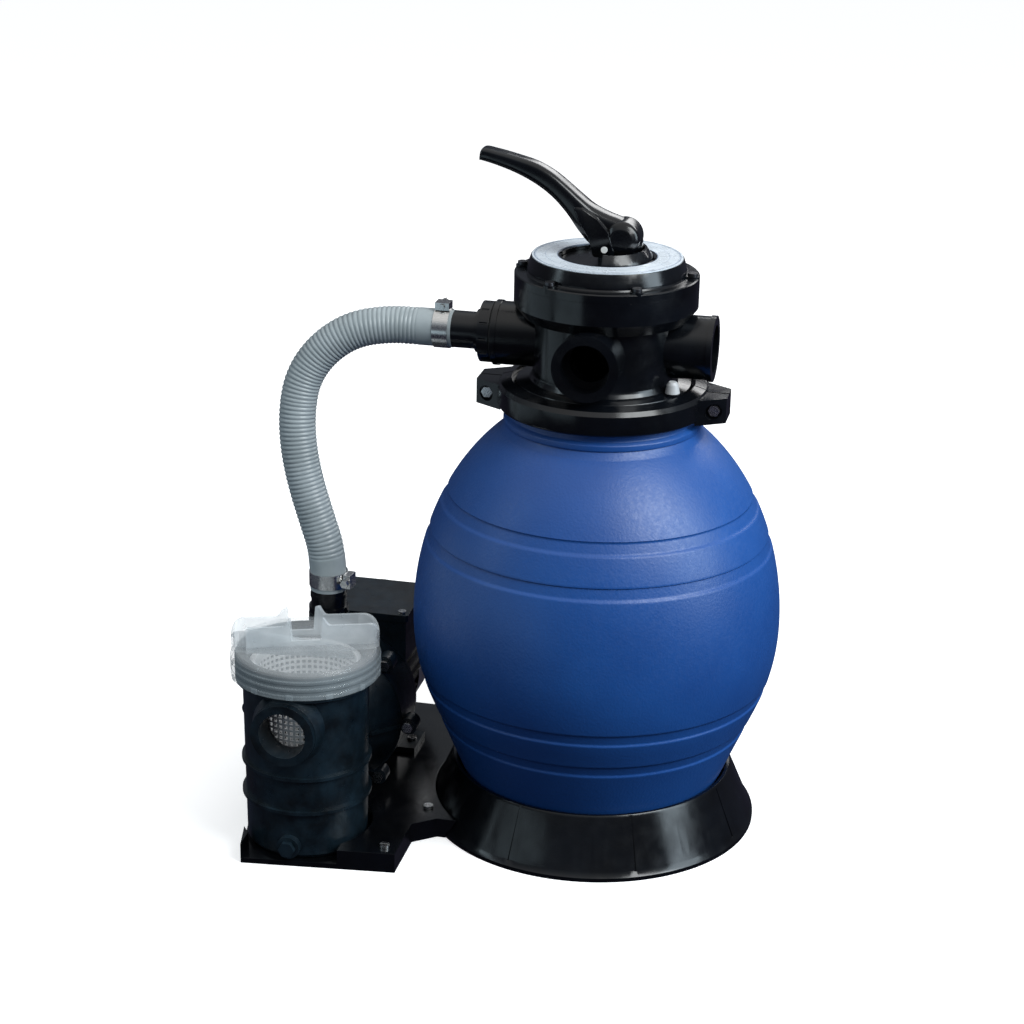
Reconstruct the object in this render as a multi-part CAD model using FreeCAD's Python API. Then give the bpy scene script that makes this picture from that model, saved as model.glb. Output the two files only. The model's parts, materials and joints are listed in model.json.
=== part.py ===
import FreeCAD
import Part
import math
import os

from FreeCAD import Vector

# Pool sand filter with its pump, millimetres.
# Origin: on the ground under the tank's axis. +Z up, -Y towards the front port,
# +X towards the free side port, -X towards the hose and the pump.

# ---- tank -------------------------------------------------------------------------
TANK_R = 178.0
TANK_MID_Z = 208.0
TANK_RISE = 224.5
TANK_DROP = 190.0
TANK_CONE_Z = 130.0
TANK_FOOT_R = 100.0
TANK_FOOT_Z = 14.0
TANK_WALL = 5.0
BAND_HEIGHTS = (330.0, 292.0, 149.0, 110.0)
BAND_WIDTH = 13.0
BAND_DEPTH = 1.6
NECK_R = 90.0
NECK_BORE_R = 82.0
NECK_BEAD_R = 94.0
NECK_FLANGE_R = 94.0
NECK_TOP_Z = 434.0
NECK_FLANGE_T = 8.0

# ---- base -------------------------------------------------------------------------
BASE_R = 162.5
BASE_TOP_R = 137.5
BASE_TOP_Z = 57.0
BASE_WALL = 3.5
BASE_PANELS = 8
BASE_SEAM_ANGLE = 26.5
GROOVE = 1.5

# ---- filter internals -------------------------------------------------------------
PIPE_R = 16.0
PIPE_BORE_R = 13.5
HUB_Z = 34.0
LATERALS = 8
LATERAL_R = 7.0
LATERAL_LENGTH = 66.0
SAND_TOP_Z = 262.0

# ---- multiport valve --------------------------------------------------------------
VALVE_Z = 434.0
VALVE_FLANGE_T = 7.0
WAIST_R = 67.0
BOWL_R = 86.0
BOWL_TOP_Z = 541.0
CHAMBER_R = 70.0
PORT_Z = 483.0
PORT_R = 30.0
PORT_BORE_R = 22.4
PORT_THREAD = 26.0
SIDE_PORT_X = 104.0
FRONT_PORT_Y = 100.0
PLATE_TOP_Z = 520.0
LID_RIM_T = 8.0
LID_TOP_Z = 564.0
LID_DISC_R = 74.5
LABEL_R = 70.0
WELL_R = 43.0
WELL_Z = 556.0
SCREW_RING_R = 80.0
LID_SCREWS = 6
NUT_Z = 524.0
NUT_T = 4.5
NUT_FLATS = 8.0
STEM_R = 9.0
PIN_Z = 574.0
PIN_R = 3.0
SPRING_R = 15.5
SPRING_WIRE_R = 1.5
GAP = 0.3
RUNNING = 0.05

# ---- clamp ------------------------------------------------------------------------
CLAMP_R = 100.0
CLAMP_Z = 420.0
EAR_X = 119.0
EAR_BOLT_X = 108.0
EAR_BOLT_Z = 429.0
EAR_T = 16.0

# ---- hose -------------------------------------------------------------------------
HOSE_R = 18.0
HOSE_BORE_R = 16.2
TAIL_R = 15.8
HOSE_BAND = 15.0
HOSE_ROUTE = (
    (-145, 0, 483), (-176, 0, 483), (-209, -3, 483.5), (-243, -9, 477), (-271, -14, 457),
    (-289, -19, 430), (-294, -25, 399), (-292, -30, 364), (-284, -34, 329), (-272, -37, 293),
    (-260, -38, 257), (-260, -38, 221),
)

# ---- pump -------------------------------------------------------------------------
PUMP_X = -253.0
POT_Y = -137.0
POT_R = 60.0
POT_BORE_R = 55.0
POT_Z = 6.0
POT_TOP_Z = 196.0
COLLAR_R = 66.8
COLLAR_Z = 172.0
AXIS_Z = 100.0
INLET_Z = 142.0
INLET_Y = -214.0
INLET_R = 30.5
INLET_THREAD = 16.0
INLET_THROAT_R = 21.0
FLANGE_Y = -66.0
FLANGE_T = 8.0
FLANGE_R = 75.0
FLANGE_EAR_R = 8.5
FLANGE_BOLT_R = 81.5
FLANGE_BOLT_ANGLES = (4, 52, 128, 176, 225, 315)
CASING_R = 74.0
CASING_Y1 = -14.0
OUTLET_X = -260.0
OUTLET_Y = -38.0
OUTLET_R = 19.8
OUTLET_BORE_R = 17.0
OUTLET_TOP_Z = 196.0
LID_R = 71.0
LID_SKIRT_Z = 176.0
LID_DISC_Z = 201.0
WING_TOP_Z = 228.0
HORN_TOP_Z = 237.0
LID_TURN = 20.0
WING_HALF = 15.0
WING_INNER = 16.0
WING_T = 2.5
DRAIN_Z = 20.0

# ---- motor ------------------------------------------------------------------------
MOTOR_R = 62.0
MOTOR_Y0 = -6.0
MOTOR_Y1 = 104.0
FAN_COVER_Y1 = 140.0
SHAFT_R = 7.0
STATOR_SLOTS = 24
BOX_X = (-286.0, -186.0)
BOX_Y = (-17.0, 72.0)
BOX_TOP_Z = 190.0
GLAND_Z = 172.5
CAPACITOR_R = 8.0
DECK_Z = 20.0


# ---- helpers ----------------------------------------------------------------------
def cylinder(radius, z0, z1, x=0.0, y=0.0):
    return Part.makeCylinder(radius, z1 - z0, Vector(x, y, z0))


def tube(outer, inner, z0, z1, x=0.0, y=0.0):
    return cylinder(outer, z0, z1, x, y).cut(cylinder(inner, z0 - 1, z1 + 1, x, y))


def block(x0, x1, y0, y1, z0, z1):
    return Part.makeBox(x1 - x0, y1 - y0, z1 - z0, Vector(x0, y0, z0))


def revolve(points):
    corners = [Vector(r, 0, z) for r, z in points]
    wire = Part.makePolygon(corners + corners[:1])
    return Part.Face(wire).revolve(Vector(0, 0, 0), Vector(0, 0, 1), 360)


def torus(ring_r, section_r, z, x=0.0, y=0.0):
    return Part.makeTorus(ring_r, section_r, Vector(x, y, z))


def turned(shape, degrees, x=0.0, y=0.0):
    copy = shape.copy()
    copy.rotate(Vector(x, y, 0), Vector(0, 0, 1), degrees)
    return copy


def moved(shape, x, y, z):
    copy = shape.copy()
    copy.translate(Vector(x, y, z))
    return copy


def fuse_all(shapes):
    first, *rest = shapes
    return first.multiFuse(rest).removeSplitter()


def facing_x(shape, y, z):
    """A shape made about +Z, laid so that its +Z points along +X."""
    copy = shape.copy()
    copy.rotate(Vector(0, 0, 0), Vector(0, 1, 0), 90)
    copy.translate(Vector(0, y, z))
    return copy


def facing_y(shape, x, z):
    """A shape made about +Z, laid so that its +Z points along +Y."""
    copy = shape.copy()
    copy.rotate(Vector(0, 0, 0), Vector(1, 0, 0), -90)
    copy.translate(Vector(x, 0, z))
    return copy


def on_pump_axis(shape):
    return facing_y(shape, PUMP_X, AXIS_Z)


def extrude_xy(points, z0, z1):
    corners = [Vector(x, y, z0) for x, y in points]
    face = Part.Face(Part.makePolygon(corners + corners[:1]))
    return face.extrude(Vector(0, 0, z1 - z0))


def hexagon(flats, z0, z1):
    corner = flats / math.sqrt(3)
    points = []
    for k in range(6):
        angle = math.radians(60 * k)
        points.append((corner * math.cos(angle), corner * math.sin(angle)))
    return extrude_xy(points, z0, z1)


def around(radius, degrees):
    angle = math.radians(degrees)
    return radius * math.cos(angle), radius * math.sin(angle)


# ---- tank -------------------------------------------------------------------------
def tank_radius(z, inset=0.0):
    """Outer radius of the tank's wall at height z, or of the surface inset inside it."""
    radius = TANK_R - inset
    if z >= TANK_MID_Z:
        share = (z - TANK_MID_Z) / (TANK_RISE - inset)
        return radius * math.sqrt(max(0.0, 1 - share ** 2))
    drop = TANK_DROP - inset
    low = max(z, TANK_CONE_Z)
    share = (TANK_MID_Z - low) / drop
    edge = radius * math.sqrt(1 - share ** 2)
    slope = radius * share / drop / math.sqrt(1 - share ** 2)
    return edge - slope * (low - z)


def tank_wall_edge(z0, z1, inset):
    points = []
    steps = 14
    for k in range(steps + 1):
        z = z0 + (z1 - z0) * k / steps
        points.append(Vector(tank_radius(z, inset), 0, z))
    curve = Part.BSplineCurve()
    curve.interpolate(points)
    return curve.toShape()


def tank_body(bottom_z, foot_r, corner_z, top_z, inset, above):
    """Solid of revolution with the tank's side curve, closed by the points above it."""
    side = tank_wall_edge(corner_z, top_z, inset)
    low = Vector(tank_radius(corner_z, inset), 0, corner_z)
    high = Vector(tank_radius(top_z, inset), 0, top_z)
    before = [Vector(0, 0, bottom_z), Vector(foot_r, 0, bottom_z), low]
    after = [high] + [Vector(r, 0, z) for r, z in above]
    closing = Part.makePolygon([after[-1], before[0]])
    edges = Part.makePolygon(before).Edges + [side] + Part.makePolygon(after).Edges + closing.Edges
    face = Part.Face(Part.Wire(Part.__sortEdges__(edges)))
    return face.revolve(Vector(0, 0, 0), Vector(0, 0, 1), 360)


def band(middle):
    z0 = middle - BAND_WIDTH / 2
    z1 = middle + BAND_WIDTH / 2
    flank = 2.0
    points = [(tank_radius(z0) + 0.05, z0)]
    for z in (z0 + flank, middle, z1 - flank):
        points.append((tank_radius(z) - BAND_DEPTH, z))
    points.append((tank_radius(z1) + 0.05, z1))
    points.append((TANK_R + 10, z1))
    points.append((TANK_R + 10, z0))
    return revolve(points)


def make_tank_shell():
    flange_z = NECK_TOP_Z - NECK_FLANGE_T
    above = [
        (NECK_BEAD_R, 404), (NECK_BEAD_R, 409), (NECK_R, 412), (NECK_R, flange_z),
        (NECK_FLANGE_R, flange_z + 1), (NECK_FLANGE_R, NECK_TOP_Z), (0, NECK_TOP_Z),
    ]
    outer = tank_body(TANK_FOOT_Z, TANK_FOOT_R, 24, 397, 0, above)
    inside_top = [(NECK_BORE_R, 402), (NECK_BORE_R, NECK_TOP_Z + 1), (0, NECK_TOP_Z + 1)]
    inner = tank_body(TANK_FOOT_Z + TANK_WALL, TANK_FOOT_R - 3, 28, 400, TANK_WALL, inside_top)
    shell = outer.cut(inner)
    for middle in BAND_HEIGHTS:
        shell = shell.cut(band(middle))
    return shell.cut(tube(90.2, 84.6, NECK_TOP_Z - 3.5, NECK_TOP_Z + 1))


def make_tank_base():
    lip = 4.0
    cone_foot_r = BASE_R - lip
    outside = [
        (BASE_R - 9, 0), (BASE_R, 0), (BASE_R, 4), (cone_foot_r, 9),
        (BASE_TOP_R + 1, BASE_TOP_Z - 2), (BASE_TOP_R - 0.5, BASE_TOP_Z),
        (BASE_TOP_R - BASE_WALL, BASE_TOP_Z), (cone_foot_r - BASE_WALL - 1, 6),
    ]
    skirt = revolve(outside)
    floor = cylinder(BASE_TOP_R + 12, 10, TANK_FOOT_Z)
    wall_inside = revolve([(0, 0), (BASE_R - 9.1, 0), (cone_foot_r - BASE_WALL, 6),
                           (BASE_TOP_R - BASE_WALL + 1, BASE_TOP_Z), (0, BASE_TOP_Z)])
    floor = floor.common(wall_inside)
    parts = [skirt, floor, tube(98, 94, 0, 11)]
    for k in range(BASE_PANELS // 2):
        rib = block(6 - BASE_R, BASE_R - 6, -1.5, 1.5, 0, 11)
        parts.append(turned(rib, BASE_SEAM_ANGLE + 360 / BASE_PANELS * k))
    base = fuse_all(parts)
    rise = BASE_TOP_Z - 9
    run = cone_foot_r - BASE_TOP_R - 1
    for k in range(BASE_PANELS):
        groove = block(-1, 1, -GROOVE / 2, GROOVE / 2, 0, math.hypot(rise, run) + 6)
        groove.rotate(Vector(0, 0, 0), Vector(0, 1, 0), -math.degrees(math.atan2(run, rise)))
        groove.translate(Vector(cone_foot_r + 0.3, 0, 8))
        base = base.cut(turned(groove, BASE_SEAM_ANGLE + 360 / BASE_PANELS * k))
    return base


def make_lateral_hub():
    bottom = TANK_FOOT_Z + TANK_WALL + 0.5
    hub = cylinder(24, bottom, HUB_Z + 14)
    hub = hub.fuse(cylinder(PIPE_R + 5, HUB_Z + 14, HUB_Z + 30))
    hub = hub.cut(cylinder(PIPE_R + RUNNING, HUB_Z + 12, HUB_Z + 31))
    hub = hub.cut(cylinder(PIPE_BORE_R, HUB_Z - 8, HUB_Z + 13))
    for k in range(LATERALS):
        socket = facing_x(cylinder(LATERAL_R - 1.5, 8, 30), 0, HUB_Z)
        hub = hub.cut(turned(socket, 45 * k))
    return hub


def make_laterals():
    fingers = []
    start = 18.0
    for k in range(LATERALS):
        finger = cylinder(LATERAL_R - 1.6, start, 25)
        finger = finger.fuse(cylinder(LATERAL_R, 25, start + LATERAL_LENGTH))
        finger = finger.cut(cylinder(LATERAL_R - 3, start - 1, start + LATERAL_LENGTH - 3))
        for j in range(8):
            slot = block(LATERAL_R - 4, LATERAL_R + 1, -5, 5, 32 + 6 * j, 32.6 + 6 * j)
            finger = finger.cut(slot)
        finger = facing_x(finger, 0, HUB_Z)
        fingers.append(turned(finger, 45 * k))
    return Part.makeCompound(fingers)


def make_standpipe():
    return tube(PIPE_R, PIPE_BORE_R, HUB_Z + 12.5, VALVE_Z - 4)


def make_sand_bed():
    inset = TANK_WALL + 0.6
    bottom = TANK_FOOT_Z + TANK_WALL + 0.6
    bed = tank_body(bottom, TANK_FOOT_R - 4, 29, SAND_TOP_Z, inset, [(0, SAND_TOP_Z)])
    bed = bed.cut(cylinder(24.6, bottom - 1, HUB_Z + 14.6))
    bed = bed.cut(cylinder(PIPE_R + 6, HUB_Z + 14, HUB_Z + 31))
    bed = bed.cut(cylinder(PIPE_R + 0.6, HUB_Z + 30, SAND_TOP_Z + 1))
    for k in range(LATERALS):
        hole = facing_x(cylinder(LATERAL_R + 0.6, 20, 18.6 + LATERAL_LENGTH), 0, HUB_Z)
        bed = bed.cut(turned(hole, 45 * k))
    return bed


# ---- valve ------------------------------------------------------------------------
def port(face, outer=PORT_R):
    """A threaded port made about +Z, its face at the given distance from the axis."""
    barrel = cylinder(outer, 40, face)
    return barrel.fuse(cylinder(outer + 1, face - 5, face))


def port_bore(face):
    return cylinder(PORT_BORE_R, face - PORT_THREAD, face + 1).fuse(cylinder(19, 52, face))


def make_valve_body():
    flange_z = VALVE_Z + VALVE_FLANGE_T
    outer = revolve([
        (0, VALVE_Z), (NECK_FLANGE_R, VALVE_Z), (NECK_FLANGE_R, flange_z), (84, flange_z),
        (82, flange_z + 4), (76, flange_z + 5), (WAIST_R + 3, flange_z + 6), (WAIST_R, flange_z + 12),
        (WAIST_R, 508), (77, 508), (BOWL_R, 519.5), (BOWL_R, BOWL_TOP_Z), (0, BOWL_TOP_Z),
    ])
    spigot = cylinder(80, VALVE_Z - 22, VALVE_Z + 1)
    body = outer.fuse(spigot)
    body = body.fuse(facing_x(port(SIDE_PORT_X), 0, PORT_Z))
    body = body.fuse(turned(facing_x(port(SIDE_PORT_X), 0, PORT_Z), 180))
    body = body.fuse(turned(facing_x(port(FRONT_PORT_Y), 0, PORT_Z), -90))
    body = body.cut(cylinder(60, VALVE_Z - 30, 512))
    body = body.cut(cylinder(76, VALVE_Z - 30, VALVE_Z))
    body = body.cut(cylinder(CHAMBER_R, PLATE_TOP_Z, BOWL_TOP_Z + 1))
    body = body.cut(tube(76, 71.4, BOWL_TOP_Z - 2.6, BOWL_TOP_Z + 1))
    inner = [body, cylinder(22, VALVE_Z - 16, 513)]
    for k in range(4):
        inner.append(turned(block(20, 61, -2, 2, VALVE_Z + 2, 513), 45 + 90 * k))
    body = fuse_all(inner)
    body = body.cut(cylinder(PIPE_R + RUNNING, VALVE_Z - 17, VALVE_Z - 3))
    body = body.cut(cylinder(PIPE_BORE_R, VALVE_Z - 4, PLATE_TOP_Z + 1))
    for k in range(4):
        window = cylinder(56, 511, PLATE_TOP_Z + 1).cut(cylinder(26, 510, PLATE_TOP_Z + 2))
        window = window.common(extrude_xy([(8, 8), (70, 8), (70, 70), (8, 70)], 510, 522))
        body = body.cut(turned(window, 90 * k))
    for turn in (0, 180):
        body = body.cut(turned(facing_x(port_bore(SIDE_PORT_X), 0, PORT_Z), turn))
    body = body.cut(turned(facing_x(port_bore(FRONT_PORT_Y), 0, PORT_Z), -90))
    for k in range(LID_SCREWS):
        x, y = around(SCREW_RING_R, 360 / LID_SCREWS * k)
        body = body.cut(cylinder(2.6, NUT_Z - 3, BOWL_TOP_Z + 1, x, y))
        body = body.cut(moved(hexagon(NUT_FLATS, NUT_Z, NUT_Z + NUT_T), x, y, 0))
    x, y = gauge_plug_place()
    body = body.fuse(cylinder(8, flange_z, flange_z + 6.2, x, y))
    return body.cut(cylinder(4, VALVE_Z + 2, flange_z + 8, x, y)).removeSplitter()


def gauge_plug_place():
    return 70.5, -33.3


def make_gauge_plug():
    x, y = gauge_plug_place()
    seat = VALVE_Z + VALVE_FLANGE_T + 6.2 + GAP
    stem = cylinder(3.95, VALVE_Z + 3, seat + 1, x, y)
    head = Part.makeCone(7, 5.5, 8, Vector(x, y, seat))
    knob = Part.makeCone(5.5, 3.5, 3, Vector(x, y, seat + 8))
    return fuse_all([stem, head, knob])


def make_valve_o_rings():
    """One between the tank's neck and the valve, one under the valve's lid."""
    return Part.makeCompound([torus(87.4, 1.75, NECK_TOP_Z - 1.75), torus(73.7, 1.3, BOWL_TOP_Z - 1.3)])


def make_spider_gasket():
    gasket = tube(60, 56.5, PLATE_TOP_Z, PLATE_TOP_Z + 1.5)
    parts = [gasket, tube(25, 14, PLATE_TOP_Z, PLATE_TOP_Z + 1.5)]
    for k in range(4):
        spoke = block(24, 57, -3, 3, PLATE_TOP_Z, PLATE_TOP_Z + 1.5)
        parts.append(turned(spoke, 90 * k))
    return fuse_all(parts)


def make_valve_lid():
    rim_z = BOWL_TOP_Z + LID_RIM_T
    lid = revolve([
        (STEM_R + 0.06, BOWL_TOP_Z + 15), (60, BOWL_TOP_Z + 15), (64, BOWL_TOP_Z + 9),
        (64, BOWL_TOP_Z + 0.1), (BOWL_R, BOWL_TOP_Z + 0.1), (BOWL_R, rim_z - 1), (BOWL_R - 1, rim_z),
        (LID_DISC_R + 1, rim_z), (LID_DISC_R, rim_z + 1.5), (LID_DISC_R, rim_z + 4),
        (LABEL_R + 1, LID_TOP_Z - 0.5), (LABEL_R + 0.6, LID_TOP_Z), (WELL_R, LID_TOP_Z),
        (WELL_R, WELL_Z + 2), (STEM_R + 0.06, WELL_Z + 2),
    ])
    parts = [lid]
    for k in range(LID_SCREWS):
        x, y = around(SCREW_RING_R, 360 / LID_SCREWS * k)
        parts.append(cylinder(6.2, rim_z - 6, rim_z + 1.5, x, y))
    lid = fuse_all(parts)
    for k in range(LID_SCREWS):
        x, y = around(SCREW_RING_R, 360 / LID_SCREWS * k)
        lid = lid.cut(cylinder(2.6, BOWL_TOP_Z - 1, rim_z + 3, x, y))
    for k in range(6):
        notch = block(WELL_R - 1, WELL_R + 2.5, -3, 3, LID_TOP_Z - 3, LID_TOP_Z + 1)
        lid = lid.cut(turned(notch, 60 * k))
    return lid


def make_label_ring():
    return tube(LABEL_R, WELL_R + 3, LID_TOP_Z, LID_TOP_Z + 0.8)


def make_lid_screws():
    head_z = BOWL_TOP_Z + LID_RIM_T + 1.5
    screws = []
    for k in range(LID_SCREWS):
        x, y = around(SCREW_RING_R, 360 / LID_SCREWS * k)
        screw = cylinder(2.5, NUT_Z - 2.5, head_z + 1, x, y)
        head = cylinder(4.6, head_z, head_z + 3.2, x, y)
        slot = block(x - 5, x + 5, y - 0.6, y + 0.6, head_z + 2, head_z + 4)
        screws.append(screw.fuse(head).cut(slot))
    return Part.makeCompound(screws)


def make_lid_nuts():
    nuts = []
    for k in range(LID_SCREWS):
        x, y = around(SCREW_RING_R, 360 / LID_SCREWS * k)
        nut = hexagon(NUT_FLATS, NUT_Z, NUT_Z + NUT_T).cut(cylinder(2.52, NUT_Z - 1, NUT_Z + NUT_T + 1))
        nuts.append(moved(nut, x, y, 0))
    return Part.makeCompound(nuts)


def make_valve_rotor():
    bottom = PLATE_TOP_Z + 1.6
    disc = cylinder(66, bottom, bottom + 9)
    disc = disc.cut(tube(60, 20, bottom + 3, bottom + 10))
    pocket = cylinder(56, bottom - 1, bottom + 2).cut(cylinder(27, bottom - 2, bottom + 3))
    pocket = pocket.common(extrude_xy([(9, 9), (70, 9), (70, 70), (9, 70)], bottom - 1, bottom + 2))
    disc = disc.cut(pocket)
    parts = [disc]
    for k in range(6):
        parts.append(turned(block(15, 61, -1.5, 1.5, bottom + 2, bottom + 9), 60 * k))
    parts.append(cylinder(STEM_R, bottom + 8, PIN_Z + 11))
    rotor = fuse_all(parts)
    return rotor.cut(facing_y(cylinder(PIN_R, -12, 12), 0, PIN_Z))


def make_rotor_spring():
    """Three turns of 3 mm wire, pressed between the rotor's hub and the lid's washer."""
    z0 = PLATE_TOP_Z + 11
    z1 = BOWL_TOP_Z + 12.6
    turns = 3
    pitch = (z1 - z0 - 2 * SPRING_WIRE_R - 0.2) / turns
    helix = Part.makeLongHelix(pitch, pitch * turns, SPRING_R)
    rise = pitch / (2 * math.pi * SPRING_R)
    section = Part.Wire(Part.makeCircle(SPRING_WIRE_R, Vector(SPRING_R, 0, 0), Vector(0, 1, rise)))
    coil = Part.Wire(helix).makePipeShell([section], True, True)
    return moved(coil, 0, 0, z0 + SPRING_WIRE_R + 0.1)


def make_spring_washer():
    return tube(20, STEM_R + 0.4, BOWL_TOP_Z + 12.9, BOWL_TOP_Z + 14.7)


def make_index_collar():
    """Turns with the stem: a flat ring with a conical wall on the side away from the lever."""
    floor_z = WELL_Z + 2.2
    floor = tube(WELL_R - 0.8, STEM_R + RUNNING, floor_z, floor_z + 2.2)
    wall = revolve([
        (WELL_R - 3.3, floor_z), (WELL_R - 0.8, floor_z), (WELL_R - 1.2, LID_TOP_Z + 1.5),
        (36.5, PIN_Z - 1), (34.2, PIN_Z - 1), (WELL_R - 4, LID_TOP_Z + 1.5),
    ])
    wall = wall.common(block(2, 60, -60, 60, floor_z, PIN_Z + 2))
    return fuse_all([floor, wall])


def make_handle_pin():
    return facing_y(cylinder(PIN_R, -19.5, 19.5), 0, PIN_Z)


def lever_side(half_width):
    top = Part.BSplineCurve()
    top.interpolate([Vector(x, -half_width, z) for x, z in
                     ((-115, 659), (-68, 648), (-40, 631), (-12, 610), (9, 601), (28, 593))])
    under = Part.BSplineCurve()
    under.interpolate([Vector(x, -half_width, z) for x, z in
                       ((-22, 565), (-28, 586), (-42, 607), (-62, 624.5), (-92, 639), (-121.5, 647))])
    nose = Part.makePolygon([Vector(28, -half_width, 593), Vector(33.5, -half_width, 586),
                             Vector(31, -half_width, 565), Vector(-22, -half_width, 565)])
    tip = Part.makePolygon([Vector(-121.5, -half_width, 647), Vector(-115, -half_width, 659)])
    edges = [top.toShape(), under.toShape()] + nose.Edges + tip.Edges
    face = Part.Face(Part.Wire(Part.__sortEdges__(edges)))
    return face.extrude(Vector(0, 2 * half_width, 0))


def make_handle_lever():
    plan = extrude_xy([(-130, -11), (-60, -11), (-25, -17), (-10, -19.5), (12, -19.5), (26, -15),
                       (34, -8), (34, 8), (26, 15), (12, 19.5), (-10, 19.5), (-25, 17), (-60, 11),
                       (-130, 11)], 550, 670)
    lever = lever_side(20).common(plan)
    slot = facing_y(cylinder(15.8, -9.5, 9.5), 0, PIN_Z)
    slot = slot.fuse(block(-18, 10.6, -9.5, 9.5, 550, PIN_Z))
    lever = lever.cut(slot)
    return lever.cut(facing_y(cylinder(PIN_R + RUNNING, -30, 30), 0, PIN_Z))


# ---- clamp ------------------------------------------------------------------------
def make_clamp_half(side):
    """One half of the split ring, on the side of Y given by side (+1 or -1)."""
    flange_z = VALVE_Z + VALVE_FLANGE_T
    ring = revolve([
        (NECK_R + 0.6, CLAMP_Z), (CLAMP_R - 2, CLAMP_Z), (CLAMP_R, CLAMP_Z + 3),
        (CLAMP_R, CLAMP_Z + 19), (CLAMP_R - 3, CLAMP_Z + 23), (86.5, flange_z + 5),
        (86.5, flange_z + 0.4), (NECK_FLANGE_R + 0.4, flange_z + 0.4),
        (NECK_FLANGE_R + 0.4, NECK_TOP_Z - NECK_FLANGE_T - 0.4), (NECK_R + 0.6, CLAMP_Z + 4),
    ])
    parts = [ring]
    for x_side in (1, -1):
        ear = extrude_xy([(92, -33), (EAR_X, -EAR_T), (EAR_X, EAR_T), (92, 33)], CLAMP_Z - 3, CLAMP_Z + 21)
        ear = turned(ear, 0 if x_side == 1 else 180)
        parts.append(ear)
    clamp = fuse_all(parts)
    clamp = clamp.cut(cylinder(NECK_R + 0.6, CLAMP_Z - 10, CLAMP_Z + 4.1))
    clamp = clamp.cut(cylinder(NECK_FLANGE_R + 0.4, CLAMP_Z + 4.6, flange_z + 0.4))
    clamp = clamp.cut(cylinder(86.5, flange_z, flange_z + 10))
    y0, y1 = (1.0, 130.0) if side > 0 else (-130.0, -1.0)
    clamp = clamp.common(block(-130, 130, y0, y1, 400, 460))
    for x in (-EAR_BOLT_X, EAR_BOLT_X):
        clamp = clamp.cut(facing_y(cylinder(3.2, -20, 20), x, EAR_BOLT_Z))
        clamp = clamp.cut(facing_y(cylinder(7.4, EAR_T, 40), x, EAR_BOLT_Z))
        clamp = clamp.cut(facing_y(cylinder(7.4, -40, -EAR_T), x, EAR_BOLT_Z))
    return clamp


def make_clamp_bolts():
    bolts = []
    for x in (-EAR_BOLT_X, EAR_BOLT_X):
        bolt = cylinder(3, -EAR_T - 1, EAR_T + 9)
        bolt = bolt.fuse(hexagon(10, -EAR_T - 4.2, -EAR_T - 0.05))
        bolts.append(facing_y(bolt, x, EAR_BOLT_Z))
    return Part.makeCompound(bolts)


def make_clamp_nuts():
    nuts = []
    for x in (-EAR_BOLT_X, EAR_BOLT_X):
        nut = hexagon(10, EAR_T + 0.05, EAR_T + 5).cut(cylinder(3.02, EAR_T - 1, EAR_T + 6))
        nuts.append(facing_y(nut, x, EAR_BOLT_Z))
    return Part.makeCompound(nuts)


# ---- hose and its fittings --------------------------------------------------------
def make_hose_adapter():
    face = SIDE_PORT_X
    outer = fuse_all([
        cylinder(PORT_BORE_R - RUNNING, face - 22, face), cylinder(29, face + 2, face + 13),
        cylinder(25, face, face + 3), cylinder(20.5, face + 12, face + 18),
        cylinder(17.6, face + 17, 145), cylinder(TAIL_R, 144, 168),
    ])
    for k in range(12):
        flute = cylinder(1.2, face + 4, face + 11, *around(29.3, 30 * k))
        outer = outer.cut(flute)
    adapter = outer.cut(cylinder(13, face - 23, 169))
    return turned(facing_x(adapter, 0, PORT_Z), 180)


def make_pump_hose_tail():
    top = OUTLET_TOP_Z
    outer = fuse_all([
        cylinder(OUTLET_BORE_R - RUNNING, top - 18, top + 0.5), cylinder(19.5, top + 1.5, top + 8),
        cylinder(17.2, top, 221), cylinder(18, 213, 217), cylinder(TAIL_R, 220, 242),
    ])
    tail = outer.cut(cylinder(12.5, top - 19, 243))
    return moved(tail, OUTLET_X, OUTLET_Y, 0)


def make_port_o_rings():
    upper = turned(facing_x(torus(26.8, 1.7, SIDE_PORT_X + 1.05 - 0.05), 0, PORT_Z), 180)
    upper = upper.cut(turned(facing_x(cylinder(40, 90, SIDE_PORT_X + 0.02), 0, PORT_Z), 180))
    upper = upper.cut(turned(facing_x(cylinder(40, SIDE_PORT_X + 2, 120), 0, PORT_Z), 180))
    lower = torus(18.6, 0.7, OUTLET_TOP_Z + 0.75, OUTLET_X, OUTLET_Y)
    return Part.makeCompound([upper, lower])


def hose_path():
    """Straight runs joined by tangent arcs, each arc 0.45 of its shorter run."""
    route = [Vector(*p) for p in HOSE_ROUTE]
    edges = []
    radii = []
    here = route[0]
    for before, corner, after in zip(route, route[1:], route[2:]):
        into = corner.sub(before)
        out = after.sub(corner)
        reach = 0.45 * min(into.Length, out.Length)
        half_turn = into.getAngle(out) / 2
        radii.append(reach / math.tan(half_turn))
        into.normalize()
        out.normalize()
        first = corner.sub(into * reach)
        last = corner.add(out * reach)
        inward = out.sub(into)
        inward.normalize()
        middle = corner.add(inward * (radii[-1] / math.cos(half_turn) - radii[-1]))
        edges.append(Part.LineSegment(here, first).toShape())
        edges.append(Part.Arc(first, middle, last).toShape())
        here = last
    edges.append(Part.LineSegment(here, route[-1]).toShape())
    return Part.Wire(edges), radii


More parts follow.
